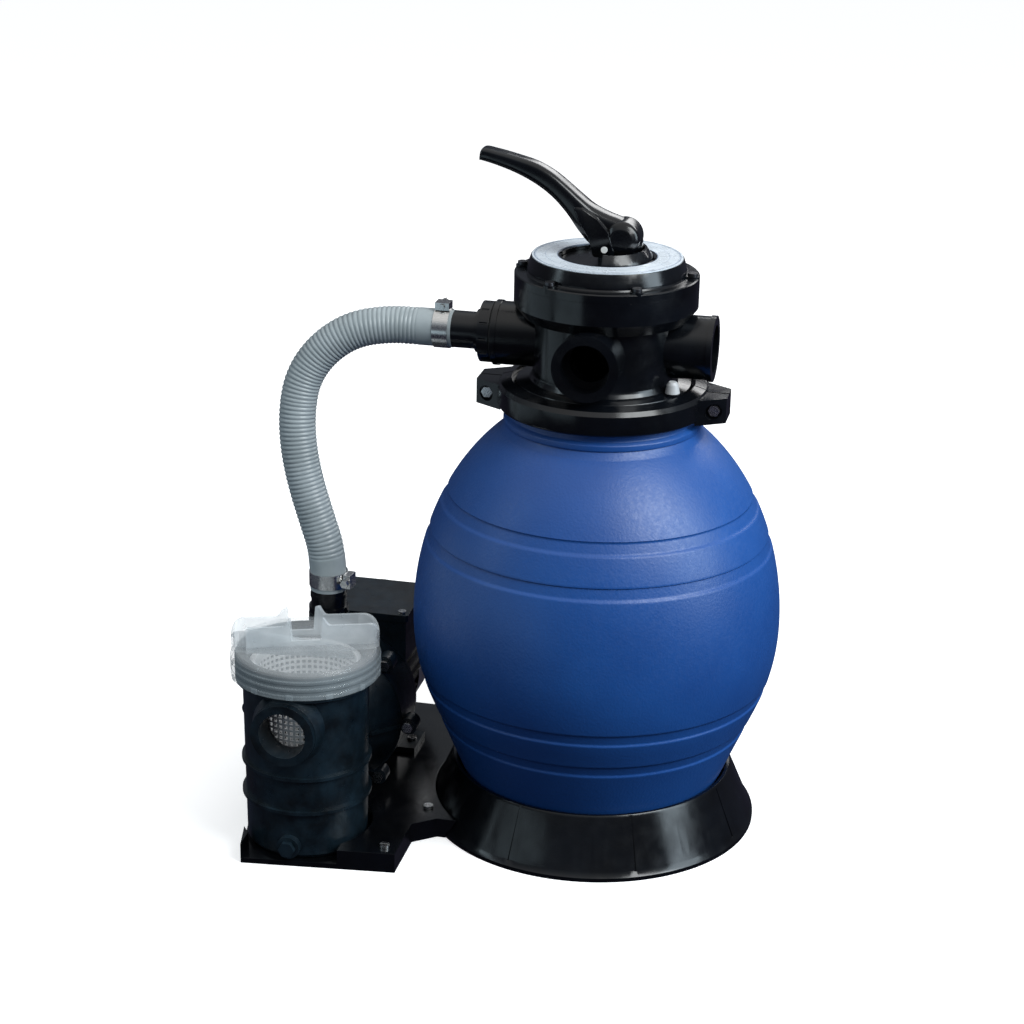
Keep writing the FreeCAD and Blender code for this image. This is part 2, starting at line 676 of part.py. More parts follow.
def make_hose():
    path, radii = hose_path()
    start = Vector(*HOSE_ROUTE[0])
    aim = Vector(*HOSE_ROUTE[1]).sub(start)
    outer = path.makePipeShell([Part.Wire(Part.makeCircle(HOSE_R, start, aim))], True, False)
    inner = path.makePipeShell([Part.Wire(Part.makeCircle(HOSE_BORE_R, start, aim))], True, False)
    hose = outer.cut(inner)
    section = math.pi * (HOSE_R ** 2 - HOSE_BORE_R ** 2)
    print("hose bend radii", [round(r) for r in radii])
    print("hose length", round(path.Length), "volume ratio", round(hose.Volume / section / path.Length, 4))
    return hose


def clamp_band(width):
    """A worm-drive band made about +Z, its screw housing on the +X side."""
    ring = tube(HOSE_R + 1.0, HOSE_R + 0.15, 0, width)
    housing = block(HOSE_R + 0.6, HOSE_R + 8, -7, 7, 0.5, width - 0.5)
    band_part = fuse_all([ring, housing])
    return band_part.cut(facing_y(cylinder(2.55, -8, 8), HOSE_R + 4.4, width / 2))


def clamp_screw(width):
    shank = cylinder(2.5, -12, 9)
    head = hexagon(7, -14, -7.1).fuse(cylinder(4.6, -8.5, -7.1))
    return facing_y(shank.fuse(head), HOSE_R + 4.4, width / 2)


def place_upper_clamp(shape):
    copy = facing_x(shape, 0, PORT_Z)
    copy.rotate(Vector(0, 0, PORT_Z), Vector(1, 0, 0), 180)
    return moved(copy, -163, 0, 0)


def place_lower_clamp(shape):
    return moved(turned(shape, -8), OUTLET_X, OUTLET_Y, 225)


def make_hose_clamp_bands():
    upper = place_upper_clamp(clamp_band(HOSE_BAND))
    return Part.makeCompound([upper, place_lower_clamp(clamp_band(HOSE_BAND))])


def make_hose_clamp_screws():
    upper = place_upper_clamp(clamp_screw(HOSE_BAND))
    return Part.makeCompound([upper, place_lower_clamp(clamp_screw(HOSE_BAND))])


# ---- pump wet end -----------------------------------------------------------------
def inlet_outside():
    neck = cylinder(INLET_R, -INLET_Y - 40, -INLET_Y)
    neck = neck.fuse(Part.makeCone(INLET_R + 5, INLET_R + 0.5, 16, Vector(0, 0, -INLET_Y - 22)))
    neck = facing_y(neck, 0, 0).mirror(Vector(0, 0, 0), Vector(0, 1, 0))
    return moved(neck, PUMP_X, 0, INLET_Z)


def make_inlet_socket():
    """The suction socket, set through the pot's wall: a short thread, then a taper."""
    socket = inlet_outside().cut(cylinder(POT_BORE_R - 3.5, POT_Z, COLLAR_Z + 12, PUMP_X, POT_Y))
    thread_end = INLET_Y + INLET_THREAD
    bore = cylinder(PORT_BORE_R, INLET_Y - 1, thread_end)
    bore = bore.fuse(Part.makeCone(PORT_BORE_R, INLET_THROAT_R, 34, Vector(0, 0, thread_end)))
    return socket.cut(facing_y(bore, PUMP_X, INLET_Z))


def make_pump_body():
    collar_top = POT_TOP_Z
    outer = revolve([
        (0, POT_Z), (POT_R - 5, POT_Z), (POT_R - 2, POT_Z + 4), (POT_R, COLLAR_Z - 4),
        (COLLAR_R, COLLAR_Z), (COLLAR_R, collar_top), (0, collar_top),
    ])
    outer = moved(outer, PUMP_X, POT_Y, 0)
    parts = [outer]
    for z in (55, 90):
        parts.append(cylinder(POT_R + 2.2, z - 1.5, z + 1.5, PUMP_X, POT_Y))
    duct = Part.makeCone(46, 74, 34, Vector(0, 0, FLANGE_Y - 34))
    parts.append(on_pump_axis(duct))
    parts.append(on_pump_axis(cylinder(FLANGE_R, FLANGE_Y, FLANGE_Y + FLANGE_T)))
    for angle in FLANGE_BOLT_ANGLES:
        x, y = around(FLANGE_BOLT_R, angle)
        parts.append(on_pump_axis(cylinder(FLANGE_EAR_R, FLANGE_Y, FLANGE_Y + FLANGE_T, x, y)))
        rib = block(40, FLANGE_R - 1, -1.6, 1.6, FLANGE_Y - 30, FLANGE_Y + 1)
        slope = block(0, 60, -5, 5, -40, 0)
        slope.rotate(Vector(0, 0, 0), Vector(0, 1, 0), 38)
        slope.translate(Vector(FLANGE_R - 1, 0, FLANGE_Y - 4))
        parts.append(on_pump_axis(turned(rib.cut(slope), angle)))
    parts.append(facing_y(cylinder(11, POT_Y - POT_R - 5, POT_Y - 40), PUMP_X, DRAIN_Z))
    body = fuse_all(parts)
    body = body.common(block(-400, -100, -260, 0, POT_Z, 400))
    body = body.cut(cylinder(POT_BORE_R - 3.5, POT_Z + 5, 184, PUMP_X, POT_Y))
    body = body.cut(cylinder(POT_BORE_R, 184, collar_top + 1, PUMP_X, POT_Y))
    body = body.cut(inlet_outside())
    body = body.cut(facing_y(cylinder(6.3, POT_Y - 80, POT_Y - 40), PUMP_X, DRAIN_Z))
    body = body.cut(on_pump_axis(cylinder(18, POT_Y + 20, FLANGE_Y + 20)))
    body = body.cut(on_pump_axis(cylinder(62, FLANGE_Y + 3, FLANGE_Y + 20)))
    for angle in FLANGE_BOLT_ANGLES:
        x, y = around(FLANGE_BOLT_R, angle)
        body = body.cut(on_pump_axis(cylinder(3.1, FLANGE_Y - 30, FLANGE_Y + 20, x, y)))
    return body


def make_drain_plug():
    plug = cylinder(6.2, POT_Y - POT_R - 6, POT_Y - 50)
    head = hexagon(14, POT_Y - POT_R - 10, POT_Y - POT_R - 5.3)
    return facing_y(fuse_all([plug, head]), PUMP_X, DRAIN_Z)


def make_volute_casing():
    front = FLANGE_Y + FLANGE_T
    parts = [cylinder(CASING_R, front, CASING_Y1), cylinder(FLANGE_R, front, front + FLANGE_T)]
    for angle in FLANGE_BOLT_ANGLES:
        parts.append(cylinder(FLANGE_EAR_R, front, front + FLANGE_T, *around(FLANGE_BOLT_R, angle)))
    outer = on_pump_axis(fuse_all(parts))
    neck = cylinder(OUTLET_R, AXIS_Z + 40, OUTLET_TOP_Z, OUTLET_X, OUTLET_Y)
    outer = outer.fuse(neck)
    outer = outer.cut(cylinder(OUTLET_BORE_R, AXIS_Z + 40, OUTLET_TOP_Z + 1, OUTLET_X, OUTLET_Y))
    outer = outer.cut(on_pump_axis(cylinder(62, front - 1, CASING_Y1 - 8)))
    outer = outer.cut(on_pump_axis(cylinder(68, CASING_Y1 - 8.1, CASING_Y1 + 1)))
    for angle in FLANGE_BOLT_ANGLES:
        x, y = around(FLANGE_BOLT_R, angle)
        outer = outer.cut(on_pump_axis(cylinder(3.1, front - 2, front + 20, x, y)))
    return outer.removeSplitter()


def make_flange_bolts():
    bolts = []
    for angle in FLANGE_BOLT_ANGLES:
        x, y = around(FLANGE_BOLT_R, angle)
        shank = cylinder(3, FLANGE_Y - 0.5, FLANGE_Y + 2 * FLANGE_T + 5, x, y)
        head = moved(hexagon(10, FLANGE_Y - 4.5, FLANGE_Y - 0.02), x, y, 0)
        nut = moved(hexagon(10, FLANGE_Y + 2 * FLANGE_T + 0.02, FLANGE_Y + 2 * FLANGE_T + 4.5), x, y, 0)
        bolts.append(on_pump_axis(fuse_all([shank, head, nut])))
    return Part.makeCompound(bolts)


def make_casing_o_ring():
    return on_pump_axis(torus(65.4, 2.0, CASING_Y1 - 5.95))


def make_seal_plate():
    plate = cylinder(67.9, CASING_Y1 - 3.8, CASING_Y1)
    plate = plate.fuse(cylinder(CASING_R, CASING_Y1, MOTOR_Y0 - 0.05))
    plate = plate.fuse(cylinder(24, CASING_Y1, MOTOR_Y0 + 12))
    plate = plate.cut(cylinder(17.55, MOTOR_Y0 - 2, MOTOR_Y0 + 13))
    plate = plate.cut(cylinder(15.05, CASING_Y1 - 5, CASING_Y1 + 2.5))
    return on_pump_axis(plate.cut(cylinder(SHAFT_R + 1, CASING_Y1 - 10, MOTOR_Y0)))


def make_seal_seat():
    return on_pump_axis(tube(15, SHAFT_R + 1, CASING_Y1 - 3.5, CASING_Y1 + 2.4))


def make_seal_rotating():
    return on_pump_axis(tube(12.5, SHAFT_R, -27.5, CASING_Y1 - 3.8))


def make_impeller():
    back = cylinder(46, -33, -30)
    hub = cylinder(12, -50, -27.6)
    eye = tube(21, 17.5, -55, -48)
    front = tube(46, 17.5, -50, -48)
    parts = [back, hub, eye, front]
    for k in range(5):
        vane = tube(52, 49.5, -49, -32).common(block(-60, 60, 0, 60, -60, 0))
        vane = moved(vane, 30, -28, 0).common(cylinder(45.5, -49, -32))
        parts.append(turned(vane, 72 * k))
    impeller = fuse_all(parts)
    return on_pump_axis(impeller.cut(cylinder(SHAFT_R, -47, -20)))


def make_strainer_lid():
    skirt = revolve([
        (COLLAR_R + 0.4, LID_SKIRT_Z), (LID_R, LID_SKIRT_Z), (LID_R, LID_DISC_Z - 4),
        (LID_R - 1.2, LID_DISC_Z), (LID_R - 4, LID_DISC_Z + 3), (20, LID_DISC_Z + 5),
        (0, LID_DISC_Z + 5), (0, LID_DISC_Z + 1), (COLLAR_R + 0.4, LID_DISC_Z - 1),
    ])
    parts = [skirt]
    for z in (LID_SKIRT_Z + 5, LID_SKIRT_Z + 11, LID_SKIRT_Z + 17):
        parts.append(tube(LID_R + 0.8, LID_R - 1, z, z + 1.6))
    for side in (0, 180):
        outer = cylinder(LID_R - 1, LID_DISC_Z + 1, WING_TOP_Z)
        outer = outer.common(block(WING_INNER, LID_R, -WING_HALF, WING_HALF, 190, 250))
        inner = cylinder(LID_R - 1 - WING_T, LID_DISC_Z + 4.5, WING_TOP_Z + 1)
        inner = inner.common(block(WING_INNER + WING_T, LID_R, WING_T - WING_HALF,
                                   WING_HALF - WING_T, 190, 250))
        parts.append(turned(outer.cut(inner), side))
        horn = block(WING_INNER, WING_INNER + WING_T, -WING_HALF, WING_HALF, WING_TOP_Z - 1, HORN_TOP_Z)
        parts.append(turned(horn, side))
    for k in range(24):
        grip = block(LID_R - 0.6, LID_R + 1.2, -1.2, 1.2, LID_SKIRT_Z, LID_SKIRT_Z + 4)
        parts.append(turned(grip, 15 * k))
    lid = fuse_all(parts)
    return moved(turned(lid, LID_TURN), PUMP_X, POT_Y, 0)


def make_lid_seal():
    ring = tube(65, 60, POT_TOP_Z + GAP, LID_DISC_Z - 1 - GAP)
    return moved(ring, PUMP_X, POT_Y, 0)


def make_strainer_basket():
    basket = revolve([
        (0, 42), (44, 42), (48.5, 184), (53.5, 184), (53.5, 187), (46.5, 187), (42, 44), (0, 44),
    ])
    for k in range(6):
        window = block(10, 38, -4, 4, 40, 46)
        basket = basket.cut(turned(window, 60 * k))
    return moved(basket, PUMP_X, POT_Y, 0)


# ---- motor ------------------------------------------------------------------------
def make_motor_shell():
    shell = tube(MOTOR_R - 3, MOTOR_R - 6, MOTOR_Y0, MOTOR_Y1)
    parts = [shell, tube(MOTOR_R, MOTOR_R - 6, MOTOR_Y0, MOTOR_Y0 + 6)]
    for k in range(36):
        fin = block(MOTOR_R - 4, MOTOR_R, -1, 1, MOTOR_Y0 + 4, MOTOR_Y1)
        parts.append(turned(fin, 10 * k))
    return on_pump_axis(fuse_all(parts))


def make_stator_core():
    core = tube(MOTOR_R - 6.05, 34, 22, 82)
    for k in range(STATOR_SLOTS):
        slot = block(35.5, 44, -2, 2, 20, 84)
        core = core.cut(turned(slot, 360 / STATOR_SLOTS * k))
    return on_pump_axis(core)


def make_stator_windings():
    parts = [tube(49, 36, 10, 21.9), tube(49, 36, 82.1, 94)]
    for k in range(STATOR_SLOTS):
        side = block(37, 43, -1.8, 1.8, 21, 83)
        parts.append(turned(side, 360 / STATOR_SLOTS * k))
    return on_pump_axis(fuse_all(parts))


def make_rotor_core():
    return on_pump_axis(tube(33.4, SHAFT_R, 22, 82))


def make_motor_shaft():
    shaft = cylinder(SHAFT_R, -45.5, 128)
    return on_pump_axis(shaft)


def make_motor_bearings():
    bearings = []
    for y in (MOTOR_Y0 + 0.5, MOTOR_Y1 - 6):
        bearings.append(on_pump_axis(tube(17.5, SHAFT_R + RUNNING, y, y + 11)))
    return Part.makeCompound(bearings)


def make_end_bell():
    bell = cylinder(MOTOR_R - 0.5, MOTOR_Y1 + 0.05, MOTOR_Y1 + 5)
    bell = bell.fuse(tube(24, 17.55, MOTOR_Y1 - 8, MOTOR_Y1 + 6))
    bell = bell.cut(cylinder(17.55, MOTOR_Y1 - 9, MOTOR_Y1 + 5.2))
    bell = bell.cut(cylinder(SHAFT_R + 1.5, MOTOR_Y1, MOTOR_Y1 + 9))
    return on_pump_axis(bell)


def make_cooling_fan():
    start = MOTOR_Y1 + 10
    parts = [cylinder(13, start, start + 12), tube(24, 12, start, start + 2)]
    for k in range(7):
        blade = block(12, 47, -1, 1, start, start + 12)
        parts.append(turned(blade, 360 / 7 * k))
    fan = fuse_all(parts)
    return on_pump_axis(fan.cut(cylinder(SHAFT_R, start - 1, start + 13)))


def make_fan_cover():
    start = MOTOR_Y1 + 5.1
    cover = tube(MOTOR_R, MOTOR_R - 2.5, start, FAN_COVER_Y1)
    cap = cylinder(MOTOR_R, FAN_COVER_Y1 - 3, FAN_COVER_Y1)
    for ring in range(4):
        cap = cap.cut(tube(20 + 8.5 * ring, 15.5 + 8.5 * ring, FAN_COVER_Y1 - 4, FAN_COVER_Y1 + 1))
    parts = [cover, cap]
    for k in range(3):
        parts.append(turned(block(-56, 56, -2.5, 2.5, FAN_COVER_Y1 - 3, FAN_COVER_Y1), 60 * k))
    return on_pump_axis(fuse_all(parts))


def box_screw_places():
    inset = 7.0
    places = []
    for x in (BOX_X[0] + inset, BOX_X[1] - inset):
        for y in (BOX_Y[0] + inset, BOX_Y[1] - inset):
            places.append((x, y))
    return places


def make_terminal_box():
    top = BOX_TOP_Z - 7
    outer = block(BOX_X[0] + 2, BOX_X[1] - 2, BOX_Y[0] + 2, BOX_Y[1] - 2, 140, top)
    wall = 2.5
    inner = block(BOX_X[0] + 2 + wall, BOX_X[1] - 2 - wall, BOX_Y[0] + 2 + wall, BOX_Y[1] - 2 - wall,
                  AXIS_Z + MOTOR_R + wall, top + 1)
    box = outer.cut(inner)
    parts = [box]
    for x, y in box_screw_places():
        parts.append(cylinder(4, 160, top, x, y))
    box = fuse_all(parts)
    box = box.cut(on_pump_axis(cylinder(MOTOR_R + 0.1, BOX_Y[0] - 5, BOX_Y[1] + 5)))
    box = box.cut(on_pump_axis(cylinder(CASING_R + 0.2, BOX_Y[0] - 5, MOTOR_Y0 + 0.2)))
    for x, y in box_screw_places():
        box = box.cut(cylinder(1.95, 170, top + 1, x, y))
    return box.cut(facing_y(cylinder(7.05, BOX_Y[1] - 8, BOX_Y[1] + 1), BOX_X[0] + 28, GLAND_Z))


def make_terminal_box_lid():
    lid = block(BOX_X[0], BOX_X[1], BOX_Y[0], BOX_Y[1], BOX_TOP_Z - 6.95, BOX_TOP_Z)
    lid = lid.makeFillet(3, [e for e in lid.Edges if abs(e.Vertexes[0].Z - e.Vertexes[-1].Z) > 1])
    lid = lid.cut(block(BOX_X[0] + 5, BOX_X[1] - 5, BOX_Y[0] + 14, BOX_Y[1] - 14, 180, BOX_TOP_Z - 2.5))
    for x, y in box_screw_places():
        lid = lid.cut(cylinder(2.1, 180, BOX_TOP_Z + 1, x, y))
    return lid


def make_box_screws():
    screws = []
    for x, y in box_screw_places():
        screw = cylinder(1.9, 172, BOX_TOP_Z + 0.5, x, y)
        head = cylinder(4, BOX_TOP_Z + 0.02, BOX_TOP_Z + 2.4, x, y)
        slot = block(x - 4.5, x + 4.5, y - 0.5, y + 0.5, BOX_TOP_Z + 1.4, BOX_TOP_Z + 3)
        screws.append(screw.fuse(head).cut(slot))
    return Part.makeCompound(screws)


def make_cable_gland():
    y = BOX_Y[1] - 2
    gland = cylinder(7, y - 6, y + 1).fuse(hexagon(17, y + 0.05, y + 6))
    gland = gland.fuse(Part.makeCone(8, 6, 12, Vector(0, 0, y + 6)))
    gland = gland.cut(cylinder(3.8, y - 7, y + 19))
    return facing_y(gland, BOX_X[0] + 28, GLAND_Z)


def make_capacitor():
    can = cylinder(CAPACITOR_R, BOX_Y[0] + 12, BOX_Y[1] - 18)
    return facing_y(can, BOX_X[1] - 26, AXIS_Z + MOTOR_R + CAPACITOR_R + 3)


def make_motor_foot():
    foot = block(PUMP_X - 46, PUMP_X + 46, 24, 66, DECK_Z, 62)
    hollow = block(PUMP_X - 30, PUMP_X + 30, 20, 70, DECK_Z - 1, 32)
    tabs = block(PUMP_X - 64, PUMP_X + 64, 24, 66, DECK_Z, DECK_Z + 6)
    foot = fuse_all([foot.cut(hollow), tabs.cut(hollow)])
    foot = foot.cut(on_pump_axis(cylinder(MOTOR_R + 0.1, 0, 90)))
    for x, y in foot_screw_places():
        foot = foot.cut(cylinder(3.1, DECK_Z - 1, DECK_Z + 8, x, y))
    return foot


# ---- platform ---------------------------------------------------------------------
def foot_screw_places():
    return [(PUMP_X - 56, 45), (PUMP_X + 56, 45)]


def deck_screw_places():
    return [(-165, -176), (-145, -88), (-145, 88)]


def make_pump_platform():
    deck = extrude_xy([
        (-299, -205), (-152, -188), (-152, -125), (-131, -108), (-80, -108), (-80, 108),
        (-131, 108), (-152, 125), (-158, 147), (-310, 147), (-317, 140), (-317, -125),
    ], 0, DECK_Z)
    cone_clear = BASE_R + 0.6
    clearance = revolve([(0, -1), (cone_clear, -1), (cone_clear, 5), (BASE_R - 3, 9.6),
                         (BASE_TOP_R + 2.4, BASE_TOP_Z), (0, BASE_TOP_Z)])
    deck = deck.cut(clearance)
    deck = deck.cut(cylinder(POT_R + 2.8, 5.5, DECK_Z + 1, PUMP_X, POT_Y))
    deck = deck.cut(block(PUMP_X - 46, PUMP_X + 46, -210, POT_Y, 5.5, DECK_Z + 1))
    deck = deck.cut(block(-312, -172, -62, 138, -1, DECK_Z - 4))
    for x, y in foot_screw_places() + deck_screw_places():
        deck = deck.cut(cylinder(2.6, DECK_Z - 14, DECK_Z + 1, x, y))
    return deck


def make_platform_screws():
    screws = []
    for x, y in foot_screw_places() + deck_screw_places():
        seat = DECK_Z + 6 if (x, y) in foot_screw_places() else DECK_Z
        screw = cylinder(2.5, DECK_Z - 12, seat + 1, x, y)
        head = cylinder(4.8, seat + 0.05, seat + 3.2, x, y)
        slot = block(x - 5, x + 5, y - 0.6, y + 0.6, seat + 2, seat + 4)
        screws.append(screw.fuse(head).cut(slot))
    return Part.makeCompound(screws)


PARTS = {
    "tank_shell": make_tank_shell,
    "tank_base": make_tank_base,
    "pump_platform": make_pump_platform,
    "platform_screws": make_platform_screws,
    "sand_bed": make_sand_bed,
    "standpipe": make_standpipe,
    "lateral_hub": make_lateral_hub,
    "laterals": make_laterals,
    "valve_o_rings": make_valve_o_rings,
    "clamp_half_front": lambda: make_clamp_half(-1),
    "clamp_half_rear": lambda: make_clamp_half(1),
    "clamp_bolts": make_clamp_bolts,
    "clamp_nuts": make_clamp_nuts,
    "valve_body": make_valve_body,
    "gauge_plug": make_gauge_plug,
    "spider_gasket": make_spider_gasket,
    "valve_lid": make_valve_lid,
    "label_ring": make_label_ring,
    "lid_screws": make_lid_screws,
    "lid_nuts": make_lid_nuts,
    "index_collar": make_index_collar,
    "spring_washer": make_spring_washer,
    "rotor_spring": make_rotor_spring,
    "valve_rotor": make_valve_rotor,
    "handle_pin": make_handle_pin,
    "handle_lever": make_handle_lever,
    "hose_adapter": make_hose_adapter,
    "port_o_rings": make_port_o_rings,
    "hose": make_hose,
    "hose_clamp_bands": make_hose_clamp_bands,
    "hose_clamp_screws": make_hose_clamp_screws,
    "pump_hose_tail": make_pump_hose_tail,
    "pump_body": make_pump_body,
    "inlet_socket": make_inlet_socket,
    "drain_plug": make_drain_plug,
    "strainer_lid": make_strainer_lid,
    "lid_seal": make_lid_seal,
    "strainer_basket": make_strainer_basket,
    "volute_casing": make_volute_casing,
    "flange_bolts": make_flange_bolts,
    "casing_o_ring": make_casing_o_ring,
    "seal_plate": make_seal_plate,
    "seal_seat": make_seal_seat,
    "seal_rotating": make_seal_rotating,
    "impeller": make_impeller,
    "motor_shaft": make_motor_shaft,
    "rotor_core": make_rotor_core,
    "motor_bearings": make_motor_bearings,
    "stator_core": make_stator_core,
    "stator_windings": make_stator_windings,
    "motor_shell": make_motor_shell,
    "end_bell": make_end_bell,
    "cooling_fan": make_cooling_fan,
    "fan_cover": make_fan_cover,
    "terminal_box": make_terminal_box,
    "terminal_box_lid": make_terminal_box_lid,
    "box_screws": make_box_screws,
    "cable_gland": make_cable_gland,
    "capacitor": make_capacitor,
    "motor_foot": make_motor_foot,
}


def main():
    os.makedirs("parts", exist_ok=True)
    for node, make in PARTS.items():
        shape = make()
        solids = len(shape.Solids)
        print(node, "solids", solids, "valid", shape.isValid(), "volume", round(shape.Volume))
        shape.exportStep(os.path.join("parts", node + ".step"))


main()
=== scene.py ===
import json
import math

import bmesh
import bpy
from mathutils import Matrix, Vector

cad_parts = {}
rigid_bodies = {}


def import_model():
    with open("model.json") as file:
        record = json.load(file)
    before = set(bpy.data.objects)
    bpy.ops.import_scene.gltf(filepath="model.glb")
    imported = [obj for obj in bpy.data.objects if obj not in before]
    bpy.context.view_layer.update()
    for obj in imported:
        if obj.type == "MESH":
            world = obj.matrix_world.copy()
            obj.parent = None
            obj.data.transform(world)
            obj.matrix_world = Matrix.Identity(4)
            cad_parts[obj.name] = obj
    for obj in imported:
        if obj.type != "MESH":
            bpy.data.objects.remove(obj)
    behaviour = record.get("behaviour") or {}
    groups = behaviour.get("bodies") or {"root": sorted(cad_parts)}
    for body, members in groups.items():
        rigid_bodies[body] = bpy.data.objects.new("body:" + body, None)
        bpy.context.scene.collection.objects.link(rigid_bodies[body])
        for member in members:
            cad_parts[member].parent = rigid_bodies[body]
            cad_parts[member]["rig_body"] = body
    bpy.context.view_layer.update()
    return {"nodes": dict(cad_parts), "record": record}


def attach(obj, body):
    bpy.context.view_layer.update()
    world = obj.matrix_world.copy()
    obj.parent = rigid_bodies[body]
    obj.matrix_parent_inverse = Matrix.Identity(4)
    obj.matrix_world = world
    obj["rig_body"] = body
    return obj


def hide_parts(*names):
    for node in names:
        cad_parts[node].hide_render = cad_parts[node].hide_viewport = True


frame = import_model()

MM = 0.001
FLAT_ANGLE = 0.6
EDGE_ANGLE = 34.0
SCENE = bpy.context.scene
NODES = frame["nodes"]
SLOTS = {part["node"]: part["material_slot"] for part in frame["record"]["subparts"]}


# ---- camera -----------------------------------------------------------------------
CAMERA_PLACE = (0.3674, -2.0837, 1.0873)
CAMERA_HEADING = 0.21415
CAMERA_DOWN = 0.35220
CAMERA_ROLL = 0.01882
CAMERA_LENS = 82.445


def make_camera():
    data = bpy.data.cameras.new("camera")
    data.lens = CAMERA_LENS
    data.sensor_width = 36.0
    data.clip_end = 60.0
    camera = bpy.data.objects.new("camera", data)
    turn = Matrix.Rotation(CAMERA_HEADING, 4, "Z")
    tilt = Matrix.Rotation(math.pi / 2 - CAMERA_DOWN, 4, "X")
    roll = Matrix.Rotation(CAMERA_ROLL, 4, "Z")
    camera.matrix_world = Matrix.Translation(CAMERA_PLACE) @ turn @ tilt @ roll
    SCENE.collection.objects.link(camera)
    bpy.context.scene.camera = camera


# ---- mesh helpers -----------------------------------------------------------------
def new_piece(name, verts, faces, smooth_angle=32.0):
    mesh = bpy.data.meshes.new(name)
    mesh.from_pydata([tuple(v) for v in verts], [], [tuple(f) for f in faces])
    mesh.validate()
    piece = bpy.data.objects.new(name, mesh)
    SCENE.collection.objects.link(piece)
    tidy_mesh(mesh)
    set_smooth(mesh, smooth_angle)
    return piece


def tidy_mesh(mesh):
    bm = bmesh.new()
    bm.from_mesh(mesh)
    bmesh.ops.remove_doubles(bm, verts=bm.verts, dist=2e-6)
    bmesh.ops.recalc_face_normals(bm, faces=bm.faces)
    bm.to_mesh(mesh)
    bm.free()


def set_smooth(mesh, degrees):
    """Smooth shading with creases kept where two faces meet at more than the angle."""
    limit = math.radians(degrees)
    bm = bmesh.new()
    bm.from_mesh(mesh)
    for face in bm.faces:
        face.smooth = True
    for edge in bm.edges:
        edge.smooth = len(edge.link_faces) == 2 and edge.calc_face_angle(0.0) < limit
    bm.to_mesh(mesh)
    bm.free()


def join_lists(groups):
    """One list of corners and faces from several."""
    verts = []
    faces = []
    for more_verts, more_faces in groups:
        start = len(verts)
        verts += list(more_verts)
        faces += [[start + i for i in face] for face in more_faces]
    return verts, faces


def placed(group, matrix):
    verts, faces = group
    return [matrix @ Vector(v) for v in verts], faces


def rounded(points, radius, steps=4):
    """The closed outline with its corners rounded. A point is (r, z) or (r, z, its own radius)."""
    out = []
    count = len(points)
    for i, point in enumerate(points):
        here = Vector(point[:2])
        before = Vector(points[i - 1][:2]) - here
        after = Vector(points[(i + 1) % count][:2]) - here
        own = point[2] if len(point) > 2 else radius
        opening = before.angle(after) if before.length and after.length else math.pi
        if own <= 0 or opening > math.radians(172):
            out.append(here)
            continue
        reach = min(own / math.tan(opening / 2), 0.48 * before.length, 0.48 * after.length)
        first = here + before.normalized() * reach
        last = here + after.normalized() * reach
        for k in range(steps + 1):
            t = k / steps
            out.append(first * (1 - t) ** 2 + here * 2 * t * (1 - t) + last * t ** 2)
    return out


def lathe(outline, segments):
    """Closed outline in (r, z), millimetres, turned about Z."""
    verts = []
    faces = []
    count = len(outline)
    for k in range(segments):
        angle = 2 * math.pi * k / segments
        for r, z in outline:
            verts.append((r * math.cos(angle) * MM, r * math.sin(angle) * MM, z * MM))
    for k in range(segments):
        here = k * count
        there = (k + 1) % segments * count
        for i in range(count):
            j = (i + 1) % count
            faces.append((here + i, there + i, there + j, here + j))
    return verts, faces


def rounded_box(size, centre, edge, steps=3):
    """A box in millimetres with rounded edges."""
    bm = bmesh.new()
    bmesh.ops.create_cube(bm, size=1.0)
    for v in bm.verts:
        v.co = Vector((v.co.x * size[0], v.co.y * size[1], v.co.z * size[2])) * MM + Vector(centre) * MM
    bmesh.ops.bevel(bm, geom=bm.edges[:], offset=edge * MM, segments=steps, profile=0.5, affect="EDGES")
    bm.verts.index_update()
    group = ([v.co.copy() for v in bm.verts], [[v.index for v in f.verts] for f in bm.faces])
    bm.free()
    return group


def smooth_through(stations, per_span):
    """Rows of numbers eased from one station to the next (Catmull-Rom)."""
    out = []
    last = len(stations) - 1
    for i in range(last):
        a = stations[max(i - 1, 0)]
        b = stations[i]
        c = stations[i + 1]
        d = stations[min(i + 2, last)]
        for k in range(per_span):
            t = k / per_span
            row = []
            for p, q, r, s in zip(a, b, c, d):
                row.append(0.5 * (2 * q + (r - p) * t + (2 * p - 5 * q + 4 * r - s) * t ** 2
                                  + (3 * q - p - 3 * r + s) * t ** 3))
            out.append(row)
    out.append(list(stations[-1]))
    return out


def finish_piece(piece, material, *nodes):
    """Gives the piece its material, its body and the CAD nodes that it stands for."""
    piece.data.materials.clear()
    piece.data.materials.append(material)
    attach(piece, NODES[nodes[0]]["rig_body"])
    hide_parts(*nodes)
    return piece


def add_trim(piece, material, node):
    """A small piece that sits on a CAD node and rides with it, hiding nothing."""
    piece.data.materials.clear()
    piece.data.materials.append(material)
    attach(piece, NODES[node]["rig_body"])
    return piece


